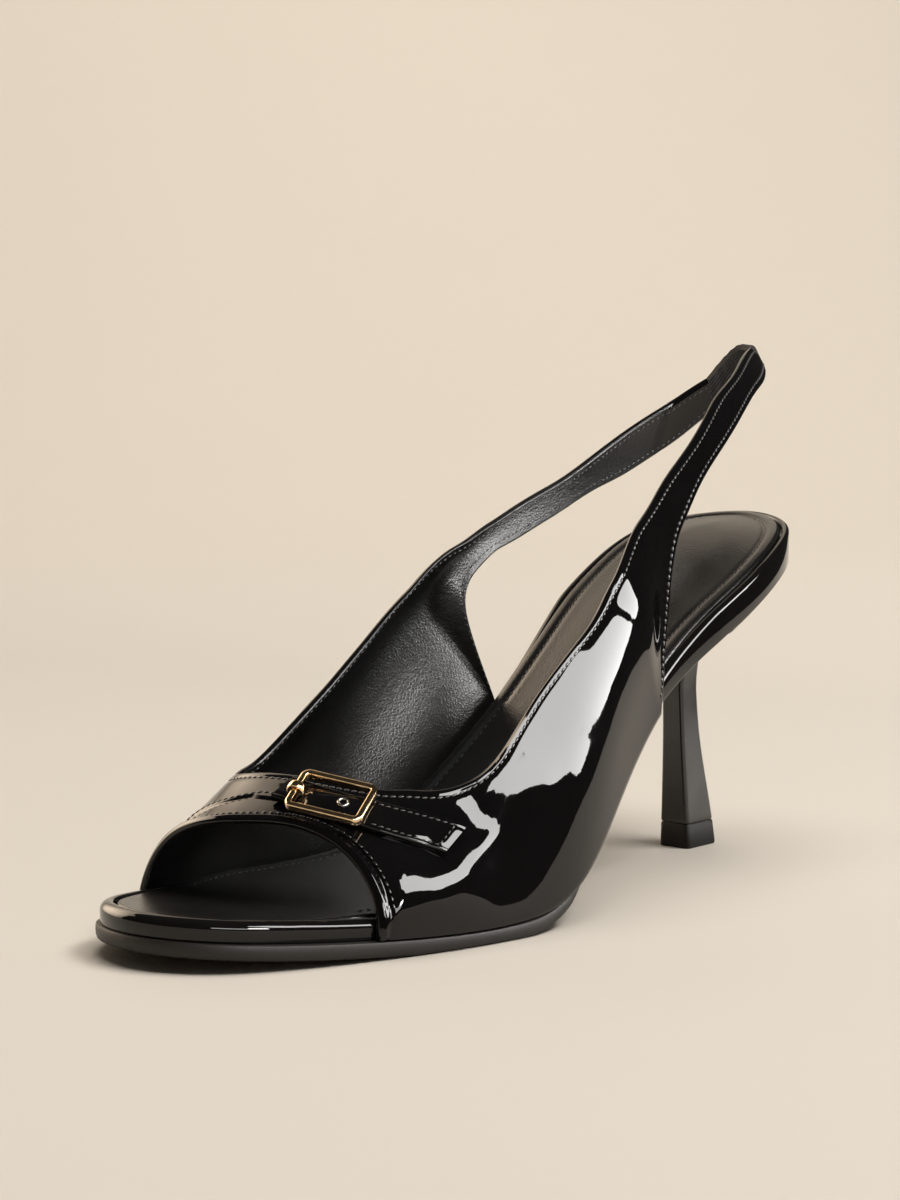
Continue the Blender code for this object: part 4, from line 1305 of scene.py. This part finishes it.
def sockRow():
    # one row inside the sock's rim, open at the toe
    first, final, stop = stitching["sockRun"]
    lateral, medial = sockPlan(crowded(first, final, sock["rimPoints"]), sock["stitchInset"])
    keep = lateral[:, 0] < stop
    loop = np.vstack([lateral[keep][::-1], medial[keep]])
    path = np.column_stack([loop, sockTop(loop) + stitching["rise"]])
    way = unit(np.gradient(path, axis=0))
    return path, unit((0, 0, 1) - way * way[:, 2:])


def tabRows(pitch):
    # along both edges from the buckle to the tail, and across the tail
    reach = 0.5 - tab["stitchInset"] / tab["width"]
    steps, first, final = stitching["tabRun"]
    sink = stitching["tabSink"]
    face, normal = tabFace(np.linspace(0, 1, steps), np.array([-reach, reach]))[1:3]
    normal = normal[first:final]
    rows = [(face[first:final, k] - normal * sink, normal, pitch) for k in (0, 1)]
    crossing = np.linspace(-reach, reach, stitching["tabEndPoints"])
    face, normal = (part[-1] for part in tabFace(np.array(stitching["tabEnd"]), crossing)[1:3])
    rows.append((face - normal * sink, np.tile(normal, (len(face), 1)), stitching["tabEndPitch"]))
    return rows


def makeStitches():
    distance, *free = stitching["opening"]
    beyond, *bandFree = stitching["band"]
    rim = [
        openingRow(lambda turn: np.full(len(turn), distance), *free),
        openingRow(lambda turn: bindingWidth(turn) + beyond, *bandFree),
    ]
    layStitches("upperStitches", edgeRows(False), "upper_patent")
    layStitches("openingStitches", rim, "upper_patent", thread="darkThread")
    layStitches("liningStitches", edgeRows(True), "upper_patent", *stitching["lining"])
    *size, pitch = stitching["sock"]
    layStitches("sockStitches", [(*sockRow(), pitch)], "sock_lining", *size, thread="darkThread")
    *size, pitch = stitching["tab"]
    layStitches("tabStitches", tabRows(pitch), "tab_patent", *size)


makeStitches()


# studio: seamless paper, soft light, camera

def wayFrom(azimuth, elevation):
    # bearing 0 is straight ahead of the toe, 90 the lateral side
    turn, tilt = math.radians(azimuth), math.radians(elevation)
    return np.array([math.sin(turn) * math.cos(tilt), -math.cos(turn) * math.cos(tilt), math.sin(tilt)])


shoeMiddle = (0.03, 0, 0.045)


def fromShoe(azimuth, elevation, distance):
    return tuple(wayFrom(azimuth, elevation) * distance + shoeMiddle)


lightAim = (0, 0, 0.05)
studio = {
    "paper": (0.80, 0.732, 0.642),
    "paperLeft": -1.3,
    "paperRight": [(-1.6, 0.30), (0.0, 0.30), (0.9, 0.42), (2.0, 0.42)],  # it ends on the light's side
    "paperFloor": (-1.6, -0.8, 0.0, 0.9),
    "paperBend": (0.9, 1.1, 25),  # where it begins, radius, points
    "paperTop": (2.0, 3.2),
    "paperColumns": 9,
    # bearing from the shoe, lowest and highest elevation of the key light, degrees
    "keyPanel": [
        (151, -2.5, 5), (148, -2, 8), (144, -1.5, 11), (140, -0.3, 15), (136, 0.7, 19.5), (132, 2, 24),
        (128, 4.2, 27), (124, 6.5, 28), (120, 8, 28), (116, 9.5, 28), (112, 12, 29.5), (108, 13.5, 32.5),
        (104, 17, 37), (100, 19.5, 43), (96, 23, 48), (92, 26.3, 50), (88, 29, 50), (84, 31.5, 49),
        (80, 36, 47.5), (76, 37.5, 48), (73, 39, 47),
    ],
    "keyGlow": 16.5,
    "keyFade": (1, 1, 1, 1, 1),
    "keyTint": (1.0, 0.985, 0.965),
    # the same, and the glow of each row
    "leftPanel": [
        (-56, 0, 40, 4.0), (-68, -3, 42, 8.0), (-84, -4, 44, 8.0), (-98, -4, 46, 6.0), (-106, 0, 48, 4.2),
        (-112, 4, 50, 2.6), (-118, 8, 50, 1.6), (-124, 12, 50, 1.5), (-129, 16, 50, 0.7),
    ],
    "leftFade": (0.3, 0.75, 1, 0.8, 0.4),
    "leftTint": (1.0, 0.81, 0.61),
    "panelDistance": 1.4,
    # name, place, aim, size, power, colour, seen in gloss, lights matt faces
    "lights": [
        ("frontStrip", fromShoe(58, 14, 1.4), lightAim, (1.0, 0.22), 7, (1.0, 0.985, 0.965), True, False),
        ("liningStrip", fromShoe(73, 20, 1.4), lightAim, (0.28, 0.18), 7.5, (1.0, 0.97, 0.94), True, False),
        ("keySoft", fromShoe(112, 58, 1.6), lightAim, (0.9, 0.5), 15, (1.0, 0.985, 0.965), False, True),
        ("overhead", (0, 0.25, 2.2), lightAim, (1.8, 1.8), 26.5, (1.0, 0.965, 0.91), False, True),
        ("paperWash", (-0.5, 0.2, 1.5), (-1, 1.7, 1.5), (1.2, 0.8), 16.5, (1.0, 0.93, 0.83), False, True),
    ],
    "air": (1.0, 0.93, 0.84),
    "airGlow": 0.03,
    "aim": (133.05, 0.0, 75.15),  # station, side, height, mm
    "azimuth": 40.18,
    "elevation": 6.454,
    "distance": 0.7817,
    "sensor": 36,
    "clipStart": 0.02,
    "focal": 3188.8 / 1200 * 36,  # photograph is 900 by 1200
}


def addSheet(name, points, faces, finish):
    mesh = bpy.data.meshes.new(name)
    mesh.from_pydata(points, [], faces)
    mesh.materials.append(finish)
    mesh.shade_smooth()
    sheet = addObject(name, mesh)
    return sheet


def makePaper():
    finish, tree, shader = newFinish("paper", studio["paper"], 0.9, Specular_IOR_Level=0.15)
    blendColour(tree, shader, noiseField(tree, objectCoords(tree), 2.2, 3.0), studio["paper"], 0.985, 1.01)
    turn = math.radians(studio["azimuth"])
    back = np.array([-math.sin(turn), math.cos(turn)])
    wide = np.array([math.cos(turn), math.sin(turn)])
    start, radius, count = studio["paperBend"]
    run = [(along, 0.0) for along in studio["paperFloor"]]
    for angle in quarterTurn(count)[1:]:
        run.append((start + radius * math.sin(angle), radius * (1 - math.cos(angle))))
    run.append(studio["paperTop"])
    rightEdge = column(studio["paperRight"], 1)
    points = []
    for along, height in run:
        for side in np.linspace(studio["paperLeft"], rightEdge(along), studio["paperColumns"]):
            points.append((*(back * along + wide * side), height))
    addSheet("paperSweep", points, gridFaces(len(run), studio["paperColumns"]), finish)


def makePanel(name, rows, fade, tint):
    # curved diffuser seen only in reflections, with a glow by row and towards its lower and upper edge
    points, glows = [], []
    for azimuth, lowest, highest, glow in rows:
        for elevation, weight in zip(np.linspace(lowest, highest, len(fade)), fade):
            points.append(fromShoe(azimuth, elevation, studio["panelDistance"]))
            glows.append(glow * weight)
    lit = bpy.data.materials.new(name)
    lit.use_nodes = True
    tree = lit.node_tree
    strength = tree.nodes.new("ShaderNodeAttribute")
    strength.attribute_name = "glow"
    lamp = place(tree, "ShaderNodeEmission", Color=(*tint, 1), Strength=strength.outputs["Fac"])
    fill(tree.nodes["Material Output"], Surface=lamp.outputs["Emission"])
    panel = addSheet(name, points, gridFaces(len(rows), len(fade)), lit)
    panel.data.attributes.new("glow", "FLOAT", "POINT").data.foreach_set("value", glows)
    panel.visible_camera = False
    panel.visible_diffuse = False
    panel.visible_shadow = False


def standing(spot, back):
    # at a spot, with its back along a direction
    return Matrix.Translation(spot) @ back.to_track_quat("Z", "Y").to_matrix().to_4x4()


def addSoftbox(name, spot, aim, size, power, colour, glossy, diffuse):
    light = bpy.data.lights.new(name, "AREA")
    light.shape = "RECTANGLE"
    light.size, light.size_y = size
    light.energy = power
    light.color = colour
    box = addObject(name, light)
    box.matrix_world = standing(spot, Vector(spot) - Vector(aim))
    box.visible_glossy = glossy
    box.visible_diffuse = diffuse
    box.visible_camera = False


def makeRoom():
    # beyond the paper the room is dark to the shoe, and paper-coloured to the eye
    world = bpy.data.worlds.new("studioAir")
    world.use_nodes = True
    room = world.node_tree
    air = fill(room.nodes["Background"], Color=(*studio["air"], 1), Strength=studio["airGlow"])
    far = place(room, "ShaderNodeBackground", Color=(*studio["paper"], 1), Strength=1.0)
    seen = room.nodes.new("ShaderNodeLightPath").outputs["Is Camera Ray"]
    choose = place(room, "ShaderNodeMixShader", Fac=seen)
    room.links.new(air.outputs["Background"], choose.inputs[1])
    room.links.new(far.outputs["Background"], choose.inputs[2])
    fill(room.nodes["World Output"], Surface=choose.outputs["Shader"])
    bpy.context.scene.world = world


def addCamera():
    data = bpy.data.cameras.new("camera")
    data.lens = studio["focal"]
    data.sensor_width = studio["sensor"]
    data.clip_start = studio["clipStart"]
    camera = addObject("camera", data)
    way = Vector(wayFrom(studio["azimuth"], studio["elevation"]))
    camera.matrix_world = standing(Vector(toWorld(studio["aim"])) + way * studio["distance"], way)
    bpy.context.scene.camera = camera
    bpy.context.scene.view_settings.view_transform = "Standard"


def makeStudio():
    makePaper()
    makeRoom()
    # the long highlight on the quarter and the beige sheen on the medial side of the vamp
    keyRows = [(*row, studio["keyGlow"]) for row in studio["keyPanel"]]
    makePanel("keyPanel", keyRows, studio["keyFade"], studio["keyTint"])
    makePanel("leftPanel", studio["leftPanel"], studio["leftFade"], studio["leftTint"])
    for row in studio["lights"]:
        addSoftbox(*row)
    addCamera()


makeStudio()
print("studio ready")
